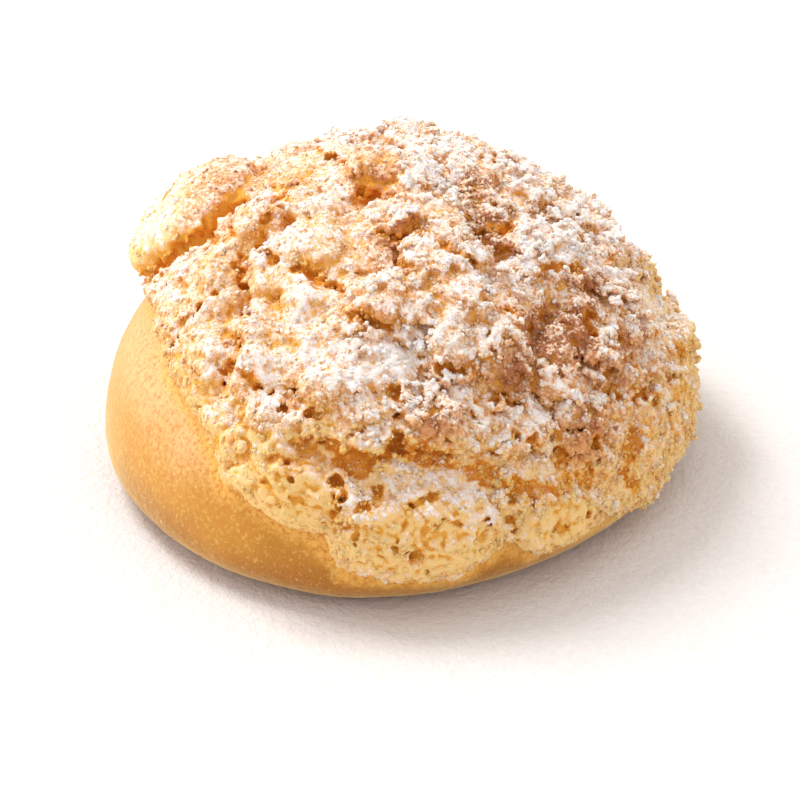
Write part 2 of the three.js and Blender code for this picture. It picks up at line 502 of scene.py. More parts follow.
class Recipe:
    """Writes the nodes of one material."""

    FUZZ_ROUGHNESS = 0.4
    GLOW_REACH = (1.0, 0.55, 0.2)

    def __init__(self, name: str) -> None:
        """Start from an empty principled material.

        Args:
            name: The material's name.
        """
        self.material = bpy.data.materials.new(name)
        self.material.use_nodes = True
        self.tree = self.material.node_tree
        self.shader = self.tree.nodes["Principled BSDF"]
        self.place = self.node("ShaderNodeTexCoord").outputs["Object"]

    def node(self, kind: str, inputs: Union[Inputs, None] = None, **settings: object) -> bpy.types.Node:
        """Add a node.

        Args:
            kind: Blender's name for the node's type.
            inputs: What goes into its inputs, by name or number.
            settings: Properties to set on it.

        Returns:
            The new node.
        """
        made = self.tree.nodes.new(kind)
        for name, value in settings.items():
            setattr(made, name, value)
        self.feed(made, inputs or {})
        return made

    def feed(self, node: bpy.types.Node, inputs: Inputs) -> None:
        """Link a node's inputs to other nodes, or set their values.

        Args:
            node: The node to fill.
            inputs: An output socket, a number or a colour for each input's name or number.
        """
        for name, value in inputs.items():
            if isinstance(value, bpy.types.NodeSocket):
                self.tree.links.new(value, node.inputs[name])
            else:
                node.inputs[name].default_value = value.linear() if isinstance(value, Shade) else value

    def mark(self, mark: Mark) -> bpy.types.NodeSocket:
        """Read a value that the mesh carries on its vertices."""
        return self.node("ShaderNodeAttribute", attribute_name=mark.value).outputs["Fac"]

    def noise(self, size: float, detail: float = 2.0, rough: float = 0.55) -> bpy.types.NodeSocket:
        """Add rolling noise.

        Args:
            size: The width of its largest features in millimetres.
            detail: How many finer layers it has.
            rough: How strong each finer layer is.

        Returns:
            Its value, around 0.5.
        """
        inputs = {"Vector": self.place, "Scale": 1 / (size * MM), "Detail": detail, "Roughness": rough}
        return self.node("ShaderNodeTexNoise", inputs).outputs["Fac"]

    def cells(self, size: float) -> bpy.types.NodeSocket:
        """Add the distance to scattered grains.

        Args:
            size: The spacing of the grains in millimetres.

        Returns:
            Its value, 0 at a grain.
        """
        inputs = {"Vector": self.place, "Scale": 1 / (size * MM)}
        return self.node("ShaderNodeTexVoronoi", inputs).outputs["Distance"]

    def grains(self, size: float, waver: float) -> tuple[bpy.types.NodeSocket, bpy.types.NodeSocket]:
        """Add grains that each have their own random tones.

        Args:
            size: The spacing of the grains in millimetres.
            waver: How far their edges wander, in millimetres.

        Returns:
            Two tones, each from 0 to 1 and the same all over one grain.
        """
        scale = 1 / (size * MM)
        wander = self.node("ShaderNodeTexNoise", {"Vector": self.place, "Scale": scale}).outputs["Color"]
        steps = {0: wander, 1: (2 * waver * MM,) * 3, 2: self.place}
        moved = self.node("ShaderNodeVectorMath", steps, operation="MULTIPLY_ADD").outputs[0]
        tones = self.node("ShaderNodeTexVoronoi", {"Vector": moved, "Scale": scale}).outputs["Color"]
        split = self.node("ShaderNodeSeparateColor", {0: tones})
        return split.outputs["Red"], split.outputs["Green"]

    def summed(self, *terms: tuple[float, Value]) -> bpy.types.NodeSocket:
        """Add up weighted numbers.

        Args:
            terms: Pairs of a weight and a number.

        Returns:
            The sum.
        """
        total: Value = 0.0
        for weight, value in terms:
            inputs = {0: value, 1: weight, 2: total}
            total = self.node("ShaderNodeMath", inputs, operation="MULTIPLY_ADD").outputs[0]
        return total

    def eased(self, value: Value, low: float, high: float) -> bpy.types.NodeSocket:
        """Rise smoothly from 0 at low to 1 at high.

        Args:
            value: The number to ease.
            low: The value that gives 0.
            high: The value that gives 1.

        Returns:
            The eased number.
        """
        inputs = {"Value": value, "From Min": low, "From Max": high}
        return self.node("ShaderNodeMapRange", inputs, interpolation_type="SMOOTHSTEP").outputs["Result"]

    def mix(self, share: Value, first: Value, second: Value) -> bpy.types.NodeSocket:
        """Blend two colours.

        Args:
            share: How much of the second shows.
            first: The colour at 0.
            second: The colour at 1.

        Returns:
            The blend.
        """
        return self.node("ShaderNodeMix", {0: share, 6: first, 7: second}, data_type="RGBA").outputs[2]

    def bump(self, height: Value, depth: float, strength: float) -> None:
        """Roughen the surface with relief finer than the mesh.

        Args:
            height: The relief, 0 to 1.
            depth: Its full depth in millimetres.
            strength: How much of it shows, 0 to 1.
        """
        inputs = {"Strength": strength, "Distance": depth * MM, "Height": height}
        self.feed(self.shader, {"Normal": self.node("ShaderNodeBump", inputs).outputs["Normal"]})

    def surface(self, colour: Value, roughness: float, gloss: float) -> None:
        """Set the plain parts of the shader.

        Args:
            colour: The surface colour.
            roughness: 0 is a mirror and 1 is chalk.
            gloss: How strong the plain reflection is.
        """
        self.feed(self.shader, {"Base Color": colour, "Roughness": roughness, "Specular IOR Level": gloss})

    def soft_edge(self, share: float, shade: Shade) -> None:
        """Brighten the surface where it is seen at a low angle, as flour on a skin does.

        Args:
            share: How strong the brightening is.
            shade: Its colour.
        """
        sheen = {"Sheen Weight": share, "Sheen Roughness": self.FUZZ_ROUGHNESS, "Sheen Tint": shade}
        self.feed(self.shader, sheen)

    def glow_through(self, share: float, depth: float) -> None:
        """Let light pass under the surface.

        Args:
            share: How much of the light does.
            depth: How far red light travels, in millimetres.
        """
        self.feed(self.shader, {"Subsurface Weight": share, "Subsurface Scale": depth * MM})
        self.feed(self.shader, {"Subsurface Radius": self.GLOW_REACH})


@dataclass(frozen=True)
class BreadFinish:
    """Soft golden baked skin with a faint sheen, fine pores and a trace of sugar."""

    upper: Shade = Shade(228, 176, 116)
    middle: Shade = Shade(201, 138, 36)
    lower: Shade = Shade(158, 92, 2)
    pore: Shade = Shade(198, 124, 38)
    pale: Shade = Shade(240, 194, 118)
    # The golden band beside the crust is partly glaze colour and partly painted shade.
    stain_and_shade: Shade = Shade(236, 176, 78)
    heights: tuple[float, float, float] = (4.0, 15.0, 28.0)
    blotch: float = 14.0
    blotch_size: float = 15.0
    stain_and_shade_noise: float = 0.8
    stain_and_shade_size: float = 3.0
    stain_and_shade_span: Span = (0.5, 1.3)
    coarse_layers: float = 3.0
    fine_size: float = 0.9
    fine_layers: float = 4.0
    fine_rough: float = 0.8
    pore_span: Span = (0.47, 0.64)
    pore_share: float = 0.9
    speck_span: Span = (0.48, 0.34)
    speck_share: float = 0.5
    roughness: float = 0.48
    gloss: float = 0.28
    fuzz: float = 0.9
    fuzz_shade: Shade = Shade(255, 230, 170)
    glow: float = 0.1
    glow_depth: float = 2.5
    pore_dent: float = 0.7
    blister_dent: float = 0.4
    blister_size: float = 1.3
    bump_depth: float = 0.35
    bump_strength: float = 0.5

    def material(self) -> bpy.types.Material:
        """Write the bread's material.

        Returns:
            The material.
        """
        recipe = Recipe("bread_skin")
        lift = recipe.node("ShaderNodeSeparateXYZ", {0: recipe.place}).outputs["Z"]
        blotches = recipe.noise(self.blotch_size, self.coarse_layers)
        level = recipe.summed((1 / MM, lift), (self.blotch, blotches))
        low, mid, high = (height + self.blotch / 2 for height in self.heights)
        # Darker towards the bottom, paler up high.
        skin = recipe.mix(recipe.eased(level, low, mid), self.lower, self.middle)
        skin = recipe.mix(recipe.eased(level, mid, high), skin, self.upper)
        # Golden band next to the crust: partly glaze colour, partly painted shade.
        uneven = recipe.noise(self.stain_and_shade_size, self.coarse_layers)
        stain_and_shade_level = recipe.summed((1.0, recipe.mark(Mark.STAIN_AND_SHADE)), (self.stain_and_shade_noise, uneven))
        skin = recipe.mix(recipe.eased(stain_and_shade_level, *self.stain_and_shade_span), skin, self.stain_and_shade)
        fine = recipe.noise(self.fine_size, self.fine_layers, self.fine_rough)
        pores = recipe.summed((self.pore_share, recipe.eased(fine, *self.pore_span)))
        skin = recipe.mix(pores, skin, self.pore)
        specks = recipe.summed((self.speck_share, recipe.eased(fine, *self.speck_span)))
        skin = recipe.mix(specks, skin, self.pale)
        recipe.surface(skin, self.roughness, self.gloss)
        recipe.soft_edge(self.fuzz, self.fuzz_shade)
        recipe.glow_through(self.glow, self.glow_depth)
        dents = recipe.summed((-self.pore_dent, fine), (-self.blister_dent, recipe.cells(self.blister_size)))
        recipe.bump(dents, self.bump_depth, self.bump_strength)
        return recipe.material


class Tone(Enum):
    """The two random tones of a grain, by their place in what Recipe.grains gives."""

    BAKED = 0
    POWDERED = 1


@dataclass(frozen=True)
class Coat:
    """One colour laid over those before it, fading in over a span.

    The mark places it, with shares of patches, of fine noise and of a grain tone.
    """

    shade: Shade
    mark: Mark
    shares: tuple[float, float, float]
    span: Span
    tone: Tone = Tone.BAKED


@dataclass(frozen=True)
class CrustFinish:
    """Rough baked coconut: pale at the rim, toasted on the crags, dusted white, with golden painted shade in
    the dips and orange painted shade and glow in the cracks.
    """

    pale: Shade = Shade(241, 200, 130)
    toasted: Coat = Coat(Shade(222, 158, 108), Mark.TOAST, (0.6, -0.6, 0.4), (0.05, 0.7))
    brown: Coat = Coat(Shade(172, 106, 72), Mark.TOAST, (0.6, -0.6, 0.4), (0.6, 1.25))
    # Golden painted shade and glow in dips, tears and on the flap's shaded front side.
    golden_hollow_shade: Coat = Coat(Shade(231, 166, 64), Mark.HOLLOW_SHADE, (0.6, 0.5, 0.3), (0.85, 1.5))
    # Orange painted shade and glow far down between clumps, in cracks, tears and on shaded sides.
    orange_cave_shade: Coat = Coat(Shade(206, 122, 30), Mark.CAVE_SHADE, (0.0, 1.5, 0.7), (1.25, 2.1))
    thin_sugar: Coat = Coat(Shade(241, 206, 174), Mark.DUST, (0.5, 1.3, 0.3), (0.94, 1.38), Tone.POWDERED)
    sugar: Coat = Coat(Shade(244, 234, 229), Mark.DUST, (0.5, 1.3, 0.3), (1.2, 1.64), Tone.POWDERED)
    patch_size: float = 2.2
    patch_layers: float = 3.0
    patch_rough: float = 0.65
    fine_size: float = 0.6
    grain_size: float = 0.8
    grain_waver: float = 0.35
    roughness: float = 0.85
    gloss: float = 0.25
    glow: float = 0.35
    glow_depth: float = 1.4
    patch_bump: float = 0.4
    fine_bump: float = 0.6
    bump_depth: float = 0.7
    bump_strength: float = 0.4

    def material(self) -> bpy.types.Material:
        """Write the crust's material.

        Returns:
            The material.
        """
        recipe = Recipe("coconut_crust")
        patch = recipe.noise(self.patch_size, self.patch_layers, self.patch_rough)
        fine = recipe.noise(self.fine_size)
        tones = recipe.grains(self.grain_size, self.grain_waver)
        crumb: Value = self.pale
        for coat in (self.toasted, self.brown, self.golden_hollow_shade, self.orange_cave_shade, self.thin_sugar, self.sugar):
            noises = (patch, fine, tones[coat.tone.value])
            level = recipe.summed((1.0, recipe.mark(coat.mark)), *zip(coat.shares, noises))
            crumb = recipe.mix(recipe.eased(level, *coat.span), crumb, coat.shade)
        recipe.surface(crumb, self.roughness, self.gloss)
        recipe.glow_through(self.glow, self.glow_depth)
        dents = recipe.summed((self.patch_bump, patch), (self.fine_bump, fine))
        recipe.bump(dents, self.bump_depth, self.bump_strength)
        return recipe.material


@dataclass(frozen=True)
class SugarFinish:
    """Matt white powder."""

    white: Shade = Shade(247, 241, 236)
    shaded: Shade = Shade(236, 226, 218)
    tint_size: float = 0.8
    tint_span: Span = (0.35, 0.65)
    roughness: float = 0.9
    gloss: float = 0.2

    def material(self) -> bpy.types.Material:
        """Write the sugar's material.

        Returns:
            The material.
        """
        recipe = Recipe("icing_sugar")
        tint = recipe.eased(recipe.noise(self.tint_size), *self.tint_span)
        recipe.surface(recipe.mix(tint, self.shaded, self.white), self.roughness, self.gloss)
        return recipe.material


@dataclass(frozen=True)
class FloorFinish:
    """A matt white table top."""

    white: Shade = Shade(238, 234, 231)
    grey: Shade = Shade(220, 215, 212)
    weave_size: float = 1.8
    weave_layers: float = 3.0
    weave_rough: float = 0.7
    roughness: float = 0.9
    gloss: float = 0.1
    bump_depth: float = 0.9
    bump_strength: float = 0.5

    def material(self) -> bpy.types.Material:
        """Write the table's material.

        Returns:
            The material.
        """
        recipe = Recipe("table_top")
        weave = recipe.noise(self.weave_size, self.weave_layers, self.weave_rough)
        recipe.surface(recipe.mix(weave, self.white, self.grey), self.roughness, self.gloss)
        recipe.bump(weave, self.bump_depth, self.bump_strength)
        return recipe.material


# Pieces that ride on the bun


def make_piece(
    name: str,
    points: Array,
    triangles: Array,
    marks: dict[Mark, Array],
    finish: bpy.types.Material,
    smooth: bool = True,
) -> bpy.types.Object:
    """Make a mesh object that rides on the bun.

    Args:
        name: The piece's name.
        points: Vertices in millimetres, one row each.
        triangles: Vertex numbers, one row each.
        marks: Values for the finish, one number for each vertex.
        finish: The material.
        smooth: Whether the facets are shaded as one surface.

    Returns:
        The new object.
    """
    mesh = bpy.data.meshes.new(name)
    mesh.from_pydata((points * MM).tolist(), [], triangles.tolist())
    mesh.polygons.foreach_set("use_smooth", np.full(len(triangles), smooth))
    for mark, values in marks.items():
        layer = mesh.attributes.new(mark.value, "FLOAT", "POINT")
        layer.data.foreach_set("value", values.astype(np.float32))
    mesh.materials.append(finish)
    mesh.update()
    piece = bpy.data.objects.new(name, mesh)
    bpy.context.scene.collection.objects.link(piece)
    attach(piece, "root")
    LOG.info("%s: %d triangles", name, len(triangles))
    return piece


@dataclass(frozen=True)
class Spot:
    """A place on the bun: the way round from +X in degrees, the height and a radius in millimetres."""

    azimuth: float
    height: float
    radius: float = 0.0


# The bread


@dataclass
class Bread:
    """The bread dome: the solid's form, smoothed, with soft dents and a flat base."""

    solid: bpy.types.Object
    finish: BreadFinish = BreadFinish()
    pitch: float = 0.4
    reach: float = 3.0
    soften: float = 1.0
    flatness: float = 0.02
    slope_reach: float = 1.0
    axis: tuple[float, float] = (-0.63, 0.52)
    ray_length: float = 60.0
    ray_steps: int = 601
    stain_and_shade_span: Span = (6.0, 0.8)
    dents: Wave = Wave(16.0, 0.35)
    ripples: Wave = Wave(4.0, 0.07)
    base_depth: float = 0.6
    seed: int = 11
    block: VoxelBlock = field(init=False)

    def __post_init__(self) -> None:
        """Read the solid's form."""
        self.block = VoxelBlock.from_solid(self.solid, self.pitch, self.reach)

    def spin(self, points: Array) -> Array:
        """Give the way round the bun's middle, in degrees from 0 to 360.

        Args:
            points: Places in millimetres, one row each.

        Returns:
            One angle for each place.
        """
        return np.degrees(np.arctan2(points[:, 1] - self.axis[1], points[:, 0] - self.axis[0])) % 360

    def on_skin(self, spot: Spot, lift: float) -> Array:
        """Find a place over the bread's skin.

        Args:
            spot: The way round and the height.
            lift: How far outside the skin, in millimetres.

        Returns:
            The place in millimetres.
        """
        turn = math.radians(spot.azimuth)
        run = np.linspace(0.0, self.ray_length, self.ray_steps)
        line = np.stack([self.axis[0] + run * math.cos(turn), self.axis[1] + run * math.sin(turn)], axis=1)
        line = np.concatenate([line, np.full((len(run), 1), spot.height)], axis=1)
        inside = np.flatnonzero(self.block.at(line) < 0)
        foot = line[inside[-1] if len(inside) else 0][None]
        return (foot + lift * self.block.slope(foot, self.slope_reach))[0]

    def build(self, cover: bpy.types.Object) -> bpy.types.Object:
        """Mesh and dress the bread, with a golden band beside its cover that is partly glaze colour and
        partly painted shade.

        Args:
            cover: The solid of the crust that lies on the bread.

        Returns:
            The bread's object.
        """
        points, triangles = self.block.blurred(self.soften, 1).skin(self.flatness)
        noise = SmoothNoise(self.seed)
        push = self.dents.at(noise, points)
        push += self.ripples.at(noise, points)
        points = points + push[:, None] * self.block.slope(points, self.slope_reach)
        points[:, 2] = np.where(points[:, 2] < self.base_depth, 0.0, points[:, 2])
        covered = VoxelBlock.from_solid(cover, 3 * self.pitch, self.stain_and_shade_span[0] + 2 * self.pitch)
        # The golden band beside the crust is partly glaze colour and partly painted shade.
        marks = {Mark.STAIN_AND_SHADE: ease(*self.stain_and_shade_span, covered.at(points))}
        piece = make_piece("bread_bun", points, triangles, marks, self.finish.material())
        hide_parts("bread")
        return piece


# The coconut crust


@dataclass(frozen=True)
class Lobe:
    """A flat pale pad along the front: its middle, and its half sizes in degrees and millimetres."""

    azimuth: float
    height: float
    half_turn: float
    half_rise: float

    def nearness(self, spin: Array, height: Array) -> Array:
        """Say how far out from the middle places lie.

        Args:
            spin: The way round in degrees.
            height: Heights in millimetres.

        Returns:
            0 in the middle and 1 on the edge.
        """
        return np.hypot((spin - self.azimuth) / self.half_turn, (height - self.height) / self.half_rise)


@dataclass(frozen=True)
class Gash:
    """A short tear in the crust between two places, with its radius in millimetres."""

    start: tuple[float, float]
    end: tuple[float, float]
    radius: float


@dataclass
class Flap:
    """The thick tongue that lifted at the left shoulder, with the same sizes as in the solid."""

    bread: Bread
    azimuth: float = 160.0
    height: float = 41.0
    lift: float = 5.8
    tilt: float = 0.14
    heart: float = 14.0
    half: tuple[float, float, float] = (15.2, 13.2, 6.5)
    forward: float = 1.3
    gap: float = 0.4
    fade: Span = (1.28, 1.1)
    rim_depths: Span = (1.2, -0.8)
    rim_front: Span = (2.0, 7.0)
    eave_turns: Span = (42.0, 152.0)
    eave_share: float = 1.1
    eave_depth: float = -2.4
    eave_radius: float = 2.1
    eave_balls: int = 30

    def __post_init__(self) -> None:
        """Find the flap's middle and its directions: down the slope, along it to the front, and outward."""
        seat = self.bread.on_skin(Spot(self.azimuth, self.height), 0.0)
        out = seat - np.array([*self.bread.axis, self.heart])
        out /= np.linalg.norm(out)
        along = np.cross([0.0, 0.0, 1.0], out)
        along /= np.linalg.norm(along)
        down = math.cos(self.tilt) * np.cross(along, out) + math.sin(self.tilt) * out
        self.middle = seat + self.lift * out + self.forward * along
        self.stance = np.stack([down, along, np.cross(down, along)])

    def local(self, points: Array) -> Array:
        """Give places in the flap's own directions.

        Args:
            points: Places in millimetres, one row each.

        Returns:
            How far down, forward and out from the flap's middle, in millimetres, one row each.
        """
        return (points - self.middle) @ self.stance.T

    def body(self, points: Array) -> Array:
        """Give the distance to the flap's smooth body, clear of the bread.

        Args:
            points: Places in millimetres, one row each.

        Returns:
            Distances in millimetres, negative inside.
        """
        shares = self.local(points) / np.array(self.half)
        reach = np.linalg.norm(shares, axis=1)
        steep = np.maximum(np.linalg.norm(shares / np.array(self.half), axis=1), TINY)
        return np.maximum((reach - 1) * reach / steep, self.gap - self.bread.block.at(points))

    def weight(self, points: Array) -> Array:
        """Say how far places belong to the flap, from 0 to 1."""
        return ease(*self.fade, np.linalg.norm(self.local(points) / np.array(self.half), axis=1))

    def rim(self, points: Array) -> Array:
        """Say how far places belong to the shaded front side of the flap, from 0 to 1."""
        place = self.local(points)
        return self.weight(points) * ease(*self.rim_depths, place[:, 2]) * ease(*self.rim_front, place[:, 1])

    def eave(self) -> list[Ball]:
        """List the balls that open the gap under the flap's front edge.

        Returns:
            Centres in millimetres with their radii.
        """
        turns = np.radians(np.linspace(*self.eave_turns, self.eave_balls))
        ring = np.stack([self.half[0] * np.cos(turns), self.half[1] * np.sin(turns)], axis=1)
        places = np.column_stack([self.eave_share * ring, np.full(len(turns), self.eave_depth)])
        return [(self.middle + place @ self.stance, self.eave_radius) for place in places]


class Zone(Enum):
    """Parts of the crust and patterns on it that its marks are mixed from."""

    ALL = "everywhere"
    DIP = "between clumps"
    FINE_DIP = "between the grains of the lobes and the thin rim"
    DEEP = "far down between clumps"
    UNDER = "the shaded side of a clump"
    CROWN = "the top of a clump"
    CRACK = "cracks in the flanks"
    TORN = "tears and caves"
    OPEN_TEAR = "tears and caves away from the lobes"
    CAVES = "round the row of caves"
    LOBE = "front lobes"
    LOBE_CROWN = "clumps on the front lobes"
    THIN_RIM = "the thin sheet at the left"
    PALE_FLAP = "the lower part of the flap"
    FLAP_CREST = "the upper part of the flap"
    FLAP_RIM = "the shaded front side of the flap"
    BROWN = "brown spots"
    SUGAR = "sugar spots"
    LEVEL = "level places where powder settles"
    HIGH = "the upper half"
    HIGH_LEFT = "the left of the top"
    RIGHT = "the right flank"
    LOW_RIGHT = "the right under the top"
    RIGHT_EDGE = "the right end"
    BROAD_PATCHES = "broad patches"
    BROAD_DRIFTS = "broad drifts of powder"
    SMALL_DRIFTS = "small drifts of powder"
    FLANK_DRIFTS = "drifts of powder on the low right flank"
    FLANK_BARE = "bare places between those drifts"
    FLANK_DEEP = "the middles of those bare places"


@dataclass(frozen=True)
class Extent:
    """A part of the crust that fades in along X and upward, in millimetres, and round it, in degrees."""

    side: Union[Span, None] = None
    height: Union[Span, None] = None
    turn: Union[Span, None] = None

    def at(self, points: Array, spin: Array) -> Array:
        """Say how far places belong to it.

        Args:
            points: Places in millimetres, one row each.
            spin: Their way round the bun in degrees.

        Returns:
            Numbers from 0 to 1.
        """
        limits = ((self.turn, spin), (self.side, points[:, 0]), (self.height, points[:, 2]))
        return np.prod([ease(*span, values) for span, values in limits if span], axis=0)


@dataclass(frozen=True)
class Blend:
    """How zones mix into one mark: its range, each zone's share, and its value next to the bread."""

    span: Span
    shares: dict[Zone, float]
    inner_value: Union[float, None] = None

    def mixed(self, zones: dict[Zone, Array], inner: Array) -> Array:
        """Mix the zones.

        Args:
            zones: How strong each zone is on each vertex.
            inner: Which vertices face the bread.

        Returns:
            The mark on each vertex.
        """
        total = np.clip(sum(share * zones[zone] for zone, share in self.shares.items()), *self.span)
        return total if self.inner_value is None else np.where(inner, self.inner_value, total)


CRUST_EXTENTS: dict[Zone, Extent] = {
    Zone.HIGH: Extent(height=(20.0, 44.0)),
    Zone.HIGH_LEFT: Extent(side=(5.0, -20.0), height=(36.0, 46.0)),
    Zone.RIGHT: Extent(turn=(300.0, 330.0)),
    Zone.LOW_RIGHT: Extent(side=(10.0, 35.0), height=(48.0, 36.0)),
    Zone.RIGHT_EDGE: Extent(side=(32.0, 52.0), height=(44.0, 34.0)),
}
CRUST_PATTERNS: dict[Zone, Wave] = {
    Zone.BROAD_PATCHES: Wave(12.0), Zone.BROAD_DRIFTS: Wave(9.0, shift=30.0), Zone.SMALL_DRIFTS: Wave(3.5),
}
CRUST_BLENDS: dict[Mark, Blend] = {
    Mark.TOAST: Blend((-1.0, 1.0), {
        Zone.HIGH: 0.5, Zone.BROAD_PATCHES: 0.2, Zone.BROWN: 0.6, Zone.RIGHT: 0.25,
        Zone.LOBE: -0.4, Zone.PALE_FLAP: -1.3, Zone.THIN_RIM: -0.3, Zone.FLAP_CREST: 0.4,
        Zone.CAVES: -0.4, Zone.RIGHT_EDGE: -0.3,
    }),
    # Golden painted shade and glow: in dips, tears, on shaded sides and on the faces toward the bread.
    Mark.HOLLOW_SHADE: Blend((0.0, 1.0), {
        Zone.DIP: 1.0, Zone.UNDER: 0.4, Zone.FLAP_RIM: 1.0, Zone.TORN: 0.8, Zone.CAVES: 0.2,
        Zone.RIGHT_EDGE: 0.3, Zone.THIN_RIM: 0.15, Zone.FINE_DIP: 1.0, Zone.FLANK_BARE: 0.6,
    }, inner_value=1.0),
    # Orange painted shade and glow: far down, in cracks, tears, on shaded sides and on the faces toward the
    # bread.
    Mark.CAVE_SHADE: Blend((0.0, 1.0), {
        Zone.DEEP: 1.0, Zone.UNDER: 0.5, Zone.CRACK: 0.4, Zone.OPEN_TEAR: 0.75, Zone.FLAP_RIM: -1.0,
        Zone.FLANK_DEEP: 0.6,
    }, inner_value=0.6),
    # On the lobes' clump tops this share is sugar and painted highlight.
    Mark.DUST: Blend((-0.4, 0.55), {
        Zone.LEVEL: 0.36, Zone.CROWN: 0.25, Zone.BROAD_DRIFTS: 0.14, Zone.SMALL_DRIFTS: 0.12,
        Zone.SUGAR: 0.28, Zone.BROWN: -0.45, Zone.PALE_FLAP: 0.2, Zone.LOBE: -0.25,
        Zone.LOBE_CROWN: 0.3, Zone.UNDER: -0.3, Zone.TORN: -0.4, Zone.CAVES: -0.12,
        Zone.HIGH_LEFT: 0.07, Zone.ALL: -0.03, Zone.THIN_RIM: -0.25, Zone.RIGHT_EDGE: -0.05,
        Zone.FLAP_CREST: -0.05, Zone.LOW_RIGHT: -0.12, Zone.FLANK_DRIFTS: 0.2,
    }, inner_value=-0.4),
}


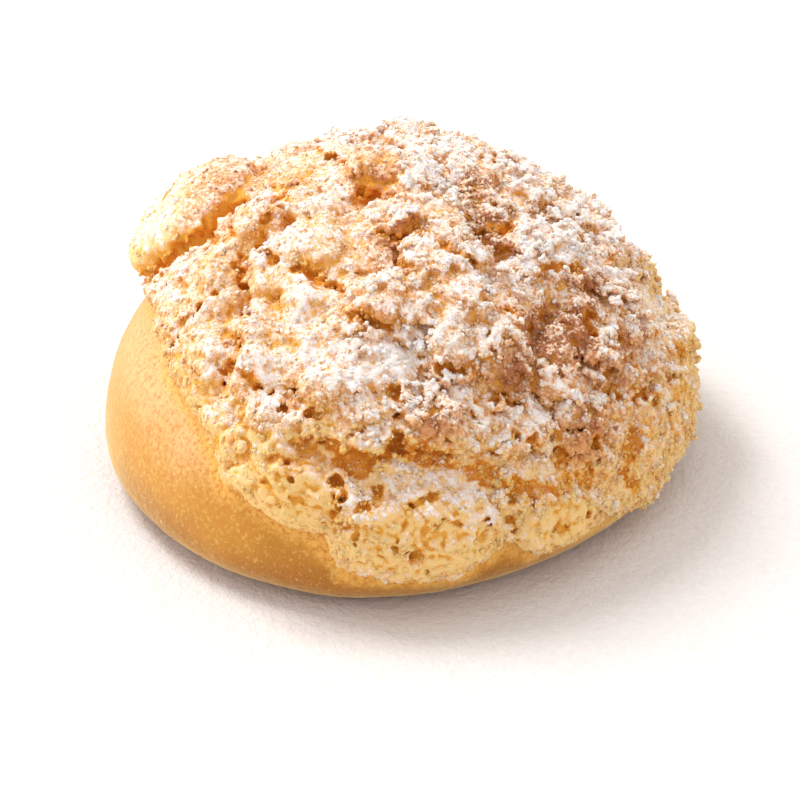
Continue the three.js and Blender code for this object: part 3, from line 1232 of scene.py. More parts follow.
@dataclass
class CoconutCrust:
    """The craggy coconut cap: the solid's form with clumps, crumbs, tears, caves and pale front lobes."""

    solid: bpy.types.Object
    bread: Bread
    finish: CrustFinish = CrustFinish()
    reach: float = 3.2
    soften: float = 0.4
    band: float = 3.0
    most_triangles: int = 198000
    clumps: GrainBed = GrainBed(8.0, 3.9, 0.2)
    lumps: GrainBed = GrainBed(3.4, 2.6, 0.27)
    crumbs: GrainBed = GrainBed(1.4, 1.6, 0.3)
    swell: Wave = Wave(12.0, 0.7)
    grit: Wave = Wave(0.9, 0.25)
    sway_size: float = 4.0
    clump_sway: float = 1.5
    crumb_sway: float = 0.5
    lump_shift: float = 17.0
    lean: tuple[float, float, float] = (0.0, 0.35, 0.7)
    least_bold: float = 0.75
    more_bold: float = 0.6
    bold_side: Span = (-20.0, 35.0)
    thin_crust: Span = (4.2, 2.6)
    clump_calm: float = 0.85
    lump_calm: Span = (0.3, 0.65)
    crumb_calm: Span = (0.15, 0.3)
    most_relief: float = 2.7
    lobes: tuple[Lobe, ...] = (
        Lobe(247.0, 24.0, 11.0, 6.4), Lobe(274.5, 17.5, 16.5, 8.8), Lobe(303.0, 13.0, 10.5, 4.8),
    )
    lobe_waver: Wave = Wave(4.0, 0.12)
    lobe_swell: float = 1.5
    lobe_edge: Span = (0.0, 0.5)
    rim_thickness: Span = (5.0, 2.2)
    rim_front: Span = (280.0, 240.0)
    rim_back: Span = (110.0, 130.0)
    rim_calm: float = 0.5
    right_trim: float = 0.6
    trim_side: Span = (20.0, 50.0)
    cave_line: tuple[Spot, ...] = (
        Spot(253, 30.6, 0.7), Spot(256.5, 30.1, 1.6), Spot(261.2, 28.0, 2.6), Spot(265, 29.2, 0.9),
        Spot(268.8, 31.2, 2.0), Spot(272.8, 29.6, 1.0), Spot(276.8, 28.9, 2.6), Spot(281.5, 26.3, 1.0),
        Spot(286.2, 25.0, 2.5), Spot(291.2, 22.8, 1.0), Spot(296.5, 20.9, 2.3), Spot(301.5, 20.0, 0.9),
        Spot(307, 19.8, 2.0), Spot(312.2, 18.0, 1.3), Spot(318, 15.5, 0.8),
    )
    cave_lifts: tuple[float, ...] = (3.2, 5.2, 7.6)
    cave_stray: float = 0.4
    cave_sizes: Span = (0.8, 1.15)
    cave_rise: float = 1.0
    cave_fall: float = 0.25
    cave_reach: float = 5.0
    creases: tuple[Gash, ...] = (
        Gash((204.5, 45.7), (218.0, 43.4), 1.2), Gash((218.0, 43.4), (224.8, 41.0), 1.2),
        Gash((224.8, 41.0), (226.8, 37.7), 1.1), Gash((226.8, 37.7), (227.2, 34.2), 1.4),
        Gash((259.5, 28.0), (258.0, 18.5), 1.2), Gash((292.0, 22.0), (292.5, 13.0), 1.2),
    )
    gashes: tuple[Gash, ...] = (
        Gash((181, 49.2), (190, 50.3), 1.5), Gash((212, 53.1), (237, 53.4), 1.2),
        Gash((261, 50.9), (283, 50.7), 1.4), Gash((229, 47.2), (240, 47.1), 1.4),
        Gash((240, 47.1), (251, 46.9), 1.2), Gash((256, 44.4), (263, 43.8), 1.4),
        Gash((263, 43.8), (270, 43.3), 1.1), Gash((296, 44.8), (301, 43.1), 1.3),
        Gash((301, 43.1), (305, 41.6), 1.5), Gash((279, 39), (287, 37.9), 1.6),
        Gash((268, 36.9), (268.5, 34.6), 1.7), Gash((287, 34.6), (299, 32.8), 1.6),
        Gash((331, 38.7), (327, 36.9), 1.6), Gash((327, 44.8), (338, 42.6), 1.2),
        Gash((327, 50.3), (334, 49.5), 1.5), Gash((288, 49.3), (298, 47.5), 1.3),
        Gash((234, 36.1), (240, 35.1), 1.2), Gash((331, 31.5), (335, 30), 2.0),
        Gash((323, 28.6), (327, 27.4), 1.8), Gash((314, 22.6), (312.2, 17.3), 2.1),
        Gash((327, 21.7), (326, 18), 2.3), Gash((322.5, 15), (326, 11), 1.9),
        Gash((305, 27.2), (307, 23), 1.9), Gash((295, 29.3), (300, 26.2), 1.7),
        Gash((334, 25.4), (338, 23), 1.8), Gash((244, 33.4), (252, 33.8), 1.2),
    )
    gold_pockets: tuple[Gash, ...] = (
        Gash((269.2, 15.6), (272.5, 14), 1.1), Gash((274, 18.7), (274.5, 16.3), 1.0),
        Gash((260, 18.7), (262.5, 17.1), 0.9), Gash((262.2, 21.3), (265.2, 23.9), 1.0),
        Gash((272, 21.9), (275, 22.8), 1.2), Gash((277.2, 19.7), (279, 19.8), 0.9),
        Gash((272.5, 12), (274.5, 11.4), 0.6), Gash((282.8, 15.9), (286.8, 16.7), 0.9),
        Gash((257.2, 26.2), (258.5, 22.4), 1.4), Gash((247.8, 27.1), (249.7, 25), 0.8),
        Gash((243.8, 24.9), (245, 23), 0.6), Gash((249.7, 22.8), (252, 22), 0.6),
        Gash((302, 12.5), (304, 12), 0.9), Gash((308.2, 12.2), (310, 12.5), 0.9),
    )
    mm_per_degree: float = 0.6
    tear_sizes: Span = (0.6, 1.05)
    tear_stray: float = 0.3
    tear_sink: float = 0.6
    tear_rise: float = 0.3
    boulders: tuple[Spot, ...] = (
        Spot(160.2, 49.9, 5.2), Spot(172.5, 53.6, 4.2), Spot(272.8, 51.8, 5.0), Spot(263.8, 46.0, 5.5),
        Spot(306.8, 45.7, 5.0), Spot(252.5, 37.1, 5.0), Spot(278.2, 33.5, 5.0), Spot(340.5, 44.9, 4.6),
        Spot(343.0, 35.1, 5.6), Spot(283.5, 41.9, 5.0), Spot(309.5, 34.5, 4.6), Spot(319.5, 28.9, 4.6),
    )
    boulder_sunk: float = 0.6
    crack_sway: Wave = Wave(3.0, 1.2)
    crack_size: float = 7.5
    crack_width: float = 0.13
    crack_depth: float = 1.8
    crack_heights: Span = (46.0, 34.0)
    stray_gashes: int = 26
    stray_radius: Span = (0.8, 1.4)
    stray_turns: Span = (-30.0, 225.0)
    stray_top: float = 53.5
    stray_drop: float = 40.0
    stray_crowding: float = 1.6
    stray_run: Span = (2.0, 9.0)
    stray_rise: float = 1.5
    ragged_size: float = 1.7
    ragged_depth: float = 1.1
    ragged_middle: float = 0.4
    floor_left: float = 1.4
    thin_floor: float = 2.2
    floor_give: float = 0.35
    skin_span: Span = (1.0, 1.8)
    lift_search: tuple[float, float, float] = (0.6, 14.0, 0.2)
    shade_side: tuple[float, float, float] = (-0.3, 0.35, 0.89)
    sugar_spots: tuple[Spot, ...] = (
        Spot(241.8, 35.4, 5.0), Spot(302.0, 32.7, 4.0), Spot(251.0, 40.6, 5.0), Spot(269.8, 40.5, 5.0),
        Spot(285.5, 41.5, 4.0), Spot(330.7, 36.3, 3.2), Spot(338.5, 32.7, 2.8), Spot(331.5, 47.9, 4.0),
        Spot(340.2, 44.9, 4.0), Spot(176.5, 49.2, 4.0), Spot(204.0, 52.4, 4.5), Spot(259.2, 38.0, 4.5),
        Spot(216.2, 48.3, 4.0), Spot(354.2, 53.4, 4.0), Spot(226.0, 36.3, 3.5), Spot(240.8, 44.0, 4.5),
        Spot(256.8, 27.9, 3.0), Spot(285.0, 20.6, 3.0), Spot(304.8, 16.7, 3.0), Spot(260.8, 24.1, 2.5),
        Spot(301.0, 24.3, 3.2), Spot(325.8, 15.4, 2.4), Spot(318.8, 20.2, 2.4), Spot(309.2, 30.7, 3.6),
    )
    brown_spots: tuple[Spot, ...] = (
        Spot(176.0, 50.8, 3.5), Spot(202.8, 53.5, 4.5), Spot(330.8, 50.0, 5.0), Spot(309.8, 40.5, 5.0),
        Spot(324.0, 38.2, 5.0), Spot(269.8, 50.9, 4.5), Spot(283.8, 46.8, 4.5), Spot(298.5, 36.4, 4.5),
        Spot(348.2, 51.9, 4.0), Spot(336.2, 40.7, 4.0), Spot(312.0, 24.0, 5.0), Spot(275.8, 33.3, 4.0),
    )
    spot_lift: float = 6.0
    fill_gap: float = 0.5
    fill_reach: float = 1.5
    near_blur: tuple[float, int] = (0.4, 1)
    mid_blur: tuple[float, int] = (1.2, 2)
    wide_blur: tuple[float, int] = (2.4, 2)
    up_reach: float = 0.6
    tip_reach: float = 1.0
    dip_gain: float = 2.2
    fine_dip_gain: float = 3.0
    fine_dip_range: Span = (-0.2, 0.45)
    deep_start: float = 0.1
    deep_most: float = 0.7
    crown_gain: float = 1.5
    crown_most: float = 0.6
    under_span: Span = (0.08, 0.5)
    torn_span: Span = (-0.7, 0.1)
    lobe_fade: Span = (0.0, 0.9)
    lobe_fuzz: Wave = Wave(2.5, 0.3)
    lobe_cover: float = 0.8
    pale_flap: Span = (-8.0, 5.0)
    flap_crest: Span = (-3.0, -9.0)
    level_span: Span = (0.0, 0.8)
    settle_heights: Span = (4.0, 24.0)
    flank: Extent = Extent(turn=(290.0, 305.0), height=(36.0, 26.0))
    flank_drift: Wave = Wave(5.0, shift=60.0)
    bare_start: float = 0.2
    inner_depth: float = 0.8
    open_depth: float = 1.2
    seed: int = 5
    flap: Flap = field(init=False)
    points: Array = field(init=False)
    triangles: Array = field(init=False)
    marks: dict[Mark, Array] = field(init=False)

    def __post_init__(self) -> None:
        """Find the flap's place."""
        self.flap = Flap(self.bread)

    def lobe_bulge(self, points: Array) -> Array:
        """Give the swelling of the front lobes.

        Args:
            points: Places in millimetres, one row each.

        Returns:
            1 in a lobe's middle, falling to 0 at its edge.
        """
        spin, height = self.bread.spin(points), points[:, 2]
        waver = self.lobe_waver.at(SmoothNoise(self.seed + 3), points)
        nearest = np.min([lobe.nearness(spin, height) for lobe in self.lobes], axis=0) + waver
        return np.sqrt(np.clip(1 - nearest**2, 0, 1))

    def thin_rim(self, points: Array) -> Array:
        """Give the thin sheet along the crust's left edge.

        Args:
            points: Places in millimetres, one row each.

        Returns:
            1 on the thin sheet, falling to 0 where the crust thickens.
        """
        depth, spin = self.bread.block.at(points), self.bread.spin(points)
        return ease(*self.rim_thickness, depth) * ease(*self.rim_front, spin) * ease(*self.rim_back, spin)

    def calm(self, points: Array) -> Array:
        """Say how far places belong to the front lobes or the flap, from 0 to 1."""
        return np.maximum(self.lobe_bulge(points), self.flap.weight(points))

    def cracks(self, points: Array) -> Array:
        """Give the cracks that split the flanks into clumps.

        Args:
            points: Places in millimetres, one row each.

        Returns:
            1 in the middle of a crack, falling to 0 beside it.
        """
        winding = points + self.crack_sway.at(SmoothNoise(self.seed + 8, ways=3), points)
        line = np.abs(SmoothNoise(self.seed + 9).at(winding, self.crack_size))
        return ease(self.crack_width, 0.0, line) * ease(*self.crack_heights, points[:, 2])

    def relief(self, points: Array, rise: Array, thickness: Array) -> Array:
        """Work out how far the crust stands out over the plain solid.

        Args:
            points: Places in millimetres, one row each.
            rise: Their heights over the plain solid; clumps lean down and forward as they rise.
            thickness: How thick the plain crust is there; thin crust has no deep clumps.

        Returns:
            Heights in millimetres.
        """
        smooth, cells = SmoothNoise(self.seed), CellNoise(self.seed + 1)
        sway = SmoothNoise(self.seed + 2, ways=3).at(points, self.sway_size)
        swayed = points + self.clump_sway * sway + rise[:, None] * np.array(self.lean)
        clumps = self.clumps.at(cells, swayed) + self.swell.at(smooth, points)
        lumps = self.lumps.at(cells, swayed + self.lump_shift)
        crumbs = self.crumbs.at(cells, points + self.crumb_sway * sway) + self.grit.at(smooth, points)
        bulge = self.lobe_bulge(points)
        lobe, flap = ease(*self.lobe_edge, bulge), self.flap.weight(points)
        smoothed = np.maximum(lobe, flap)
        lumps_left, crumbs_left = (
            1 - np.maximum(on_lobe * lobe, on_flap * flap)
            for on_lobe, on_flap in (self.lump_calm, self.crumb_calm)
        )
        bold = self.least_bold + self.more_bold * ease(*self.bold_side, points[:, 0])
        thin = ease(*self.thin_crust, thickness)
        total = bold * clumps * (1 - self.clump_calm * np.maximum(smoothed, thin))
        total += bold * lumps * lumps_left
        total = total + crumbs * crumbs_left + self.lobe_swell * bulge
        total -= self.crack_depth * self.cracks(points) * (1 - smoothed)
        total -= self.right_trim * ease(*self.trim_side, points[:, 0])
        total *= 1 - self.rim_calm * self.thin_rim(points)
        return np.clip(total, -self.most_relief, self.most_relief)

    def over_crust(self, block: VoxelBlock, place: tuple[float, float]) -> tuple[Array, Array]:
        """Find a place on the crust's outer side.

        Args:
            block: The crust's block.
            place: The way round and the height on the bread below.

        Returns:
            The place in millimetres, and the outward direction there.
        """
        foot = self.bread.on_skin(Spot(*place), 0.0)
        out = self.bread.block.slope(foot[None], self.bread.slope_reach)[0]
        lifts = np.arange(*self.lift_search)
        inside = np.flatnonzero(block.at(foot + lifts[:, None] * out) < 0)
        return foot + out * (lifts[inside[-1]] if len(inside) else 1.0), out

    def tear(self, block: VoxelBlock, gash: Gash, rng: np.random.Generator) -> list[Ball]:
        """Work out the balls that open one tear, a little under the lip above it.

        Args:
            block: The crust's block.
            gash: The tear.
            rng: The source of its unevenness.

        Returns:
            Centres in millimetres with their radii.
        """
        start, end = np.array(gash.start), np.array(gash.end)
        span = np.linalg.norm((end - start) * (self.mm_per_degree, 1.0))
        balls = []
        for share in np.linspace(0, 1, max(2, round(span / gash.radius) + 1)):
            place, out = self.over_crust(block, tuple(start + share * (end - start)))
            size = gash.radius * rng.uniform(*self.tear_sizes)
            drop = rng.normal(0, self.tear_stray, 3) - self.tear_sink * size * out
            balls.append((place + (drop + (0, 0, self.tear_rise * size)), size))
        return balls

    def caves(self, rng: np.random.Generator) -> list[Ball]:
        """Work out the balls that open the caves over the front lobes, from the bread outward.

        Args:
            rng: The source of their unevenness.

        Returns:
            Centres in millimetres with their radii.
        """
        turns = [spot.azimuth for spot in self.cave_line]
        heights = [spot.height for spot in self.cave_line]
        radii = [spot.radius for spot in self.cave_line]
        balls = []
        for turn in np.arange(turns[0], turns[-1], 1.0):
            height = np.interp(turn, turns, heights) + rng.normal(0, self.cave_stray)
            size = np.interp(turn, turns, radii) * rng.uniform(*self.cave_sizes)
            for lift in self.cave_lifts:
                place = self.bread.on_skin(Spot(turn, height), lift)
                balls.append((place + (0, 0, self.cave_rise - self.cave_fall * lift), size))
        return balls

    def hollows(self, block: VoxelBlock) -> list[Ball]:
        """List the balls that are dug out: the flap's eave, the caves and the tears.

        Args:
            block: The crust's block.

        Returns:
            Centres in millimetres with their radii.
        """
        rng = np.random.default_rng(self.seed)
        strays = []
        for _ in range(self.stray_gashes):
            turn = rng.uniform(*self.stray_turns)
            height = self.stray_top - self.stray_drop * rng.random() ** self.stray_crowding
            run, rise = rng.uniform(*self.stray_run), rng.normal(0, self.stray_rise)
            strays.append(Gash((turn, height), (turn + run, height + rise), rng.uniform(*self.stray_radius)))
        balls = self.flap.eave() + self.caves(rng)
        for gash in (*self.creases, *self.gashes, *self.gold_pockets, *strays):
            balls += self.tear(block, gash, rng)
        return balls

    def dug_from(self, block: VoxelBlock, balls: Iterable[Ball]) -> VoxelBlock:
        """Work out ragged hollows that leave a thin floor of crust over the bread.

        Args:
            block: The crust's block.
            balls: Centres in millimetres with their radii.

        Returns:
            A block that is above 0 in the hollows.
        """
        dug = VoxelBlock(np.full_like(block.values, -self.reach), block.corner, block.pitch)
        for centre, radius in balls:
            dug.dig(centre, radius)
        torn = dug.values > -self.reach
        places = dug.places(torn)
        waves = SmoothNoise(self.seed + 4).at(places, self.ragged_size)
        crumbs = CellNoise(self.seed + 6).at(places, self.ragged_size) ** 2 - self.ragged_middle
        ragged = dug.values[torn] + self.ragged_depth * (waves + crumbs)
        dug.values[torn] = np.minimum(ragged, self.bread.block.at(places) - self.floor_left)
        return dug

    def carve(self) -> tuple[VoxelBlock, VoxelBlock]:
        """Shape the crust on its block of voxels.

        Returns:
            The finished block, and a block that is above 0 where something was dug out.
        """
        block = VoxelBlock.from_solid(self.solid, self.bread.pitch, self.reach).blurred(self.soften, 1)
        for boulder in self.boulders:
            place, out = self.over_crust(block, (boulder.azimuth, boulder.height))
            middle = place - self.boulder_sunk * boulder.radius * out
            block.join(middle, boulder.radius + self.reach, partial(ball_distance, middle, boulder.radius))
        block.join(self.flap.middle, max(self.flap.half) + self.reach, self.flap.body)
        near = np.abs(block.values) < self.band
        places = block.places(near)
        depth = self.bread.block.at(places)
        values = block.values[near]
        outer = depth > self.skin_span[0]
        thickness = depth[outer] - values[outer]
        rise = self.relief(places[outer], values[outer], thickness)
        lowest = self.thin_floor - thickness
        rise = np.where(rise < lowest, lowest + self.floor_give * (rise - lowest), rise)
        values[outer] -= ease(*self.skin_span, depth[outer]) * rise
        block.values[near] = values
        dug = self.dug_from(block, self.hollows(block))
        block.values = np.maximum(block.values, dug.values)
        return block, dug

    def spotted(self, points: Array, spots: Iterable[Spot]) -> Array:
        """Say how near places lie to any of some spots.

        Args:
            points: Places in millimetres, one row each.
            spots: The spots.

        Returns:
            1 at a spot's middle, falling to 0 round it.
        """
        nearest = np.zeros(len(points))
        for spot in spots:
            gap = np.linalg.norm(points - self.bread.on_skin(spot, self.spot_lift), axis=1) / spot.radius
            nearest = np.maximum(nearest, np.exp(-(gap**2)))
        return nearest

    def zones(self, block: VoxelBlock, dug: VoxelBlock) -> dict[Zone, Array]:
        """Work out how far each vertex belongs to each zone.

        Args:
            block: The finished block.
            dug: The block of what was dug out.

        Returns:
            One number for each vertex, zone by zone.
        """
        points = self.points
        spin = self.bread.spin(points)
        filled = block.over(self.bread.block, self.fill_gap)
        filled.values = np.clip(filled.values, -self.fill_reach, self.fill_reach)
        near, mid, wide = (filled.blurred(*blur) for blur in (self.near_blur, self.mid_blur, self.wide_blur))
        facing_up = near.slope(points, self.up_reach)[:, 2]
        tipped = wide.slope(points, self.tip_reach) - mid.slope(points, self.tip_reach)
        fine_dip = np.clip(-self.fine_dip_gain * near.at(points), *self.fine_dip_range)
        crown = np.clip(self.crown_gain * mid.at(points), -self.crown_most, self.crown_most)
        torn = ease(*self.torn_span, dug.at(points))
        smooth = SmoothNoise(self.seed + 7)
        lobe = ease(*self.lobe_fade, self.lobe_bulge(points) + self.lobe_fuzz.at(smooth, points))
        thin_rim = self.thin_rim(points)
        on_flap, down_flap = self.flap.weight(points), self.flap.local(points)[:, 0]
        caves = [replace(spot, radius=self.cave_reach) for spot in self.cave_line]
        flank, drift = self.flank.at(points, spin), self.flank_drift.at(smooth, points)
        zones = {
            Zone.ALL: np.ones(len(points)),
            Zone.DIP: np.clip(-self.dip_gain * mid.at(points), 0, 1),
            Zone.FINE_DIP: np.maximum(lobe, thin_rim) * fine_dip,
            Zone.DEEP: np.clip(-self.deep_start - wide.at(points), 0, self.deep_most),
            Zone.UNDER: ease(*self.under_span, tipped @ np.array(self.shade_side)),
            Zone.CROWN: crown,
            Zone.CRACK: self.cracks(points),
            Zone.TORN: torn,
            Zone.OPEN_TEAR: torn * (1 - self.lobe_cover * lobe),
            Zone.CAVES: self.spotted(points, caves),
            Zone.LOBE: lobe,
            # Whitened clump tops on the lobes: sugar and painted highlight.
            Zone.LOBE_CROWN: lobe * crown,
            Zone.THIN_RIM: thin_rim,
            Zone.PALE_FLAP: on_flap * ease(*self.pale_flap, down_flap),
            Zone.FLAP_CREST: on_flap * ease(*self.flap_crest, down_flap),
            Zone.FLAP_RIM: self.flap.rim(points),
            Zone.BROWN: self.spotted(points, self.brown_spots),
            Zone.SUGAR: self.spotted(points, self.sugar_spots),
            Zone.LEVEL: ease(*self.level_span, facing_up) * ease(*self.settle_heights, points[:, 2]),
            Zone.FLANK_DRIFTS: flank * drift,
            Zone.FLANK_BARE: flank * np.clip(-drift, 0, 1),
            Zone.FLANK_DEEP: flank * np.clip(-self.bare_start - drift, 0, 1),
        }
        zones |= {zone: extent.at(points, spin) for zone, extent in CRUST_EXTENTS.items()}
        zones |= {zone: pattern.at(smooth, points) for zone, pattern in CRUST_PATTERNS.items()}
        return zones

    def build(self) -> bpy.types.Object:
        """Mesh and dress the crust.

        Returns:
            The crust's object.
        """
        block, dug = self.carve()
        self.points, self.triangles = thinned(*block.skin(0.0), self.most_triangles)
        zones = self.zones(block, dug)
        inner = self.bread.block.at(self.points) < self.inner_depth
        self.marks = {mark: blend.mixed(zones, inner) for mark, blend in CRUST_BLENDS.items()}
        material = self.finish.material()
        piece = make_piece("coconut_crust", self.points, self.triangles, self.marks, material)
        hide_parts("coconut_cap")
        return piece

    def open_side(self) -> Array:
        """Say which vertices face away from the bread."""
        return self.bread.block.at(self.points) > self.open_depth

    def seats(self, weight: Array, count: int, rng: np.random.Generator) -> tuple[Array, Array, Array]:
        """Choose places on the crust for loose grains.

        Args:
            weight: How likely each vertex is to carry one.
            count: How many places.
            rng: The source of the choice.

        Returns:
            Places in millimetres, outward directions, and the vertex nearest to each place.
        """
        areas, normals = face_areas(self.points, self.triangles)
        chance = areas * weight[self.triangles].mean(axis=1)
        faces = rng.choice(len(areas), count, p=chance / chance.sum())
        shares = rng.dirichlet((1, 1, 1), count)
        places = (self.points[self.triangles[faces]] * shares[:, :, None]).sum(axis=1)
        return places, normals[faces], self.triangles[faces, shares.argmax(axis=1)]


# Loose crumbs, grit and sugar


class Grain(Enum):
    """Shapes of loose grains, as corners on a ball and the faces between them."""

    CRUMB = "icosahedron"
    SUGAR = "octahedron"

    def form(self) -> tuple[Array, Array]:
        """Give the corners and triangles of one grain of radius 1.

        Returns:
            Corners, one row each, and triangles.
        """
        if self is Grain.SUGAR:
            corners = np.concatenate([np.eye(3), -np.eye(3)])
            faces = [(0, 1, 2), (1, 3, 2), (3, 4, 2), (4, 0, 2), (1, 0, 5), (3, 1, 5), (4, 3, 5), (0, 4, 5)]
            return corners, np.array(faces)
        golden = (1 + 5**0.5) / 2
        rings = [np.roll((0.0, a, b * golden), turn) for turn in range(3) for a in (-1, 1) for b in (-1, 1)]
        corners = np.array(rings)
        triples = np.array(list(itertools.combinations(range(12), 3)))
        sides = np.linalg.norm(corners[triples] - corners[np.roll(triples, 1, axis=1)], axis=2)
        faces = triples[(np.abs(sides - 2) < 0.1).all(axis=1)]
        first, second, third = (corners[faces[:, side]] for side in range(3))
        inward = np.einsum("ij,ij->i", np.cross(first, second), third) < 0
        faces[inward] = faces[inward][:, ::-1]
        return corners / np.linalg.norm(corners[0]), faces


GRAIN_STRETCH: Span = (0.7, 1.25)


def heap_of_grains(
    grain: Grain, places: Array, radii: Array, uneven: float, rng: np.random.Generator
) -> tuple[Array, Array]:
    """Make many uneven grains as one mesh.

    Args:
        grain: Their shape.
        places: Their middles in millimetres, one row each.
        radii: Their radii in millimetres.
        uneven: How far each corner strays, as a share of the radius.
        rng: The source of their unevenness.

    Returns:
        Vertices in millimetres and triangles.
    """
    corners, faces = grain.form()
    count = len(places)
    turns, _ = np.linalg.qr(rng.normal(size=(count, 3, 3)))
    turns *= np.sign(np.linalg.det(turns))[:, None, None]
    stretched = corners[None] * rng.uniform(*GRAIN_STRETCH, (count, 1, 3))
    stretched = stretched * (1 + rng.uniform(-uneven, uneven, (count, len(corners), 1)))
    points = np.einsum("nij,nkj->nki", turns, stretched) * radii[:, None, None] + places[:, None]
    triangles = faces[None] + np.arange(count)[:, None, None] * len(corners)
    return points.reshape(-1, 3), triangles.reshape(-1, 3)


@dataclass
class LooseCrumbs:
    """Toasted coconut crumbs seated on the crust."""

    crust: CoconutCrust
    name: str = "coconut_crumbs"
    grain: Grain = Grain.CRUMB
    count: int = 9900
    radius: Span = (0.3, 0.68)
    small_share: float = 2.5
    uneven: float = 0.5
    sink: float = -0.2
    patch_size: float = 6.0
    patch_span: Span = (-0.4, 0.5)
    between_patches: float = 0.4
    cave_loss: float = 0.3
    calm_loss: float = 0.85
    toast_stray: float = 0.2
    dust_stray: float = 0.1
    hollow_shade_share: float = 0.5
    cave_shade_share: float = 0.4
    sugared_top: float = 0.15
    smooth: bool = True
    seed: int = 21

    def weight(self) -> Array:
        """Say how likely each of the crust's vertices is to carry a crumb.

        Returns:
            One number for each vertex.
        """
        points = self.crust.points
        patchy = ease(*self.patch_span, SmoothNoise(self.seed).at(points, self.patch_size))
        calm = np.maximum(self.crust.calm(points), self.crust.thin_rim(points))
        likely = self.crust.open_side() * (self.between_patches + patchy)
        return likely * (1 - self.cave_loss * self.crust.marks[Mark.CAVE_SHADE]) * (1 - self.calm_loss * calm)

    def build(self, finish: bpy.types.Material) -> bpy.types.Object:
        """Mesh and dress the crumbs.

        Args:
            finish: The crust's material.

        Returns:
            The crumbs' object.
        """
        rng = np.random.default_rng(self.seed)
        places, out, nearest = self.crust.seats(self.weight(), self.count, rng)
        small, large = self.radius
        radii = small + (large - small) * rng.random(self.count) ** self.small_share
        middles = places + out * (radii * self.sink)[:, None]
        points, triangles = heap_of_grains(self.grain, middles, radii, self.uneven, rng)
        each = len(points) // self.count
        carried = {mark: values[nearest] for mark, values in self.crust.marks.items()}
        rugged = 1 - self.crust.lobe_bulge(places)
        carried[Mark.TOAST] = carried[Mark.TOAST] + rng.normal(0, self.toast_stray, self.count) * rugged
        carried[Mark.DUST] = carried[Mark.DUST] + rng.normal(0, self.dust_stray, self.count)
        # Crumbs carry the golden painted shade of the crust below, weakened.
        carried[Mark.HOLLOW_SHADE] = carried[Mark.HOLLOW_SHADE] * self.hollow_shade_share
        # They also carry its orange painted shade and glow, weakened.
        carried[Mark.CAVE_SHADE] = carried[Mark.CAVE_SHADE] * self.cave_shade_share
        spread = {mark: np.repeat(values, each) for mark, values in carried.items()}
        upper = (points[:, 2] - np.repeat(middles[:, 2], each)) / np.repeat(radii, each)
        spread[Mark.DUST] = spread[Mark.DUST] + self.sugared_top * upper
        return make_piece(self.name, points, triangles, spread, finish, self.smooth)


@dataclass
class FineGrit(LooseCrumbs):
    """The finest coconut grains, all over the crust."""

    name: str = "coconut_grit"
    grain: Grain = Grain.SUGAR
    count: int = 24500
    radius: Span = (0.2, 0.45)
    uneven: float = 0.3
    sink: float = 0.0
    cave_loss: float = 0.5
    calm_loss: float = 0.8
    smooth: bool = False
    seed: int = 26

    def weight(self) -> Array:
        """Say how likely each of the crust's vertices is to carry a grain.

        Returns:
            One number for each vertex.
        """
        open_caves = 1 - self.cave_loss * self.crust.marks[Mark.CAVE_SHADE]
        return self.crust.open_side() * open_caves * (1 - self.calm_loss * self.crust.calm(self.crust.points))


@dataclass
class IcingSugar:
    """Grains of icing sugar, thickest where it settled on the crust."""

    crust: CoconutCrust
    finish: SugarFinish = SugarFinish()
    count: int = 24800
    radius: Span = (0.07, 0.2)
    uneven: float = 0.3
    lift: float = 0.3
    lobe_loss: float = 0.8
    seed: int = 31

    def build(self) -> bpy.types.Object:
        """Mesh and dress the sugar.

        Returns:
            The sugar's object.
        """
        rng = np.random.default_rng(self.seed)
        off_lobes = 1 - self.lobe_loss * self.crust.lobe_bulge(self.crust.points)
        weight = np.clip(self.crust.marks[Mark.DUST], 0, None) ** 2 * off_lobes
        places, out, _ = self.crust.seats(weight, self.count, rng)
        radii = rng.uniform(*self.radius, self.count)
        middles = places + out * (self.lift * radii)[:, None]
        points, triangles = heap_of_grains(Grain.SUGAR, middles, radii, self.uneven, rng)
        material = self.finish.material()
        return make_piece("icing_sugar", points, triangles, {}, material, smooth=False)


# Table, light and camera


@dataclass(frozen=True)
class Lamp:
    """A square soft lamp: its name, where it hangs in degrees, and its power in watts."""

    name: str
    azimuth: float
    elevation: float
    power: float


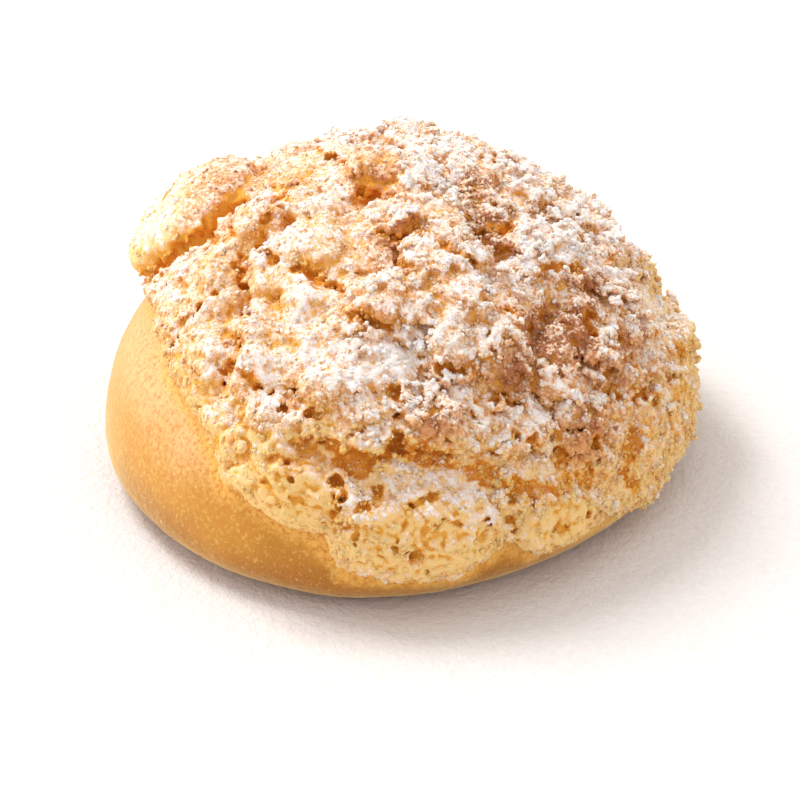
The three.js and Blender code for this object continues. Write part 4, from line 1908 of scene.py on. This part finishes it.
@dataclass
class Studio:
    """A white table under soft light from the back left, seen from the front and above."""

    floor_size: float = 4000.0
    azimuth: float = 270.0
    elevation: float = 32.0
    distance: float = 1000.0
    pixels_per_mm: float = 5.3
    image_width: float = 800.0
    sensor: float = 36.0
    aim: tuple[float, float, float] = (-0.63, 6.0, 8.8)
    lamps: tuple[Lamp, ...] = (Lamp("soft_lamp", 148.0, 59.0, 10.2), Lamp("side_lamp", 166.0, 9.0, 3.6))
    lamp_distance: float = 1200.0
    lamp_size: float = 480.0
    sky: float = 0.94

    def aimed(self, thing: bpy.types.Object, azimuth: float, elevation: float, distance: float) -> None:
        """Place a lamp or camera and turn it to the bun.

        Args:
            thing: The object to place.
            azimuth: The way round from +X in degrees.
            elevation: Its height over the table in degrees.
            distance: How far from the aim, in millimetres.
        """
        turn, climb = math.radians(azimuth), math.radians(elevation)
        arm = Vector((math.cos(climb) * math.cos(turn), math.cos(climb) * math.sin(turn), math.sin(climb)))
        thing.location = (Vector(self.aim) + arm * distance) * MM
        thing.rotation_euler = arm.to_track_quat("Z", "Y").to_euler()
        bpy.context.scene.collection.objects.link(thing)

    def camera(self) -> None:
        """Set the camera at the viewer's place."""
        lens = bpy.data.cameras.new("camera")
        lens.sensor_width = self.sensor
        lens.lens = self.pixels_per_mm * self.distance * self.sensor / self.image_width
        viewer = bpy.data.objects.new("camera", lens)
        self.aimed(viewer, self.azimuth, self.elevation, self.distance)
        bpy.context.scene.camera = viewer

    def light(self) -> None:
        """Hang the large soft lamp and a weak one at the left, and light the room evenly."""
        for lamp in self.lamps:
            light = bpy.data.lights.new(lamp.name, "AREA")
            light.size = self.lamp_size * MM
            light.energy = lamp.power
            hung = bpy.data.objects.new(lamp.name, light)
            self.aimed(hung, lamp.azimuth, lamp.elevation, self.lamp_distance)
        world = bpy.data.worlds.new("room")
        world.use_nodes = True
        background = world.node_tree.nodes["Background"]
        background.inputs["Color"].default_value = (1.0, 1.0, 1.0, 1.0)
        background.inputs["Strength"].default_value = self.sky
        bpy.context.scene.world = world
        bpy.context.scene.view_settings.view_transform = "Standard"

    def floor(self) -> None:
        """Lay the table top under the bun."""
        half = self.floor_size * MM / 2
        mesh = bpy.data.meshes.new("table_top")
        corners = [(-half, -half, 0.0), (half, -half, 0.0), (half, half, 0.0), (-half, half, 0.0)]
        mesh.from_pydata(corners, [], [(0, 1, 2, 3)])
        mesh.materials.append(FloorFinish().material())
        table = bpy.data.objects.new("table_top", mesh)
        bpy.context.scene.collection.objects.link(table)

    def build(self) -> None:
        """Set up the floor, the light and the camera."""
        self.floor()
        self.light()
        self.camera()


# Everything in order


def main() -> None:
    """Build the bread, the crust, its crumbs, the sugar and the studio in order."""
    logging.basicConfig(level=logging.INFO, format="%(name)s %(message)s")
    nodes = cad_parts
    bread = Bread(nodes["bread"])
    bread.build(nodes["coconut_cap"])
    crust = CoconutCrust(nodes["coconut_cap"], bread)
    cap = crust.build()
    LooseCrumbs(crust).build(cap.active_material)
    FineGrit(crust).build(cap.active_material)
    IcingSugar(crust).build()
    Studio().build()


if __name__ == "__main__":
    main()
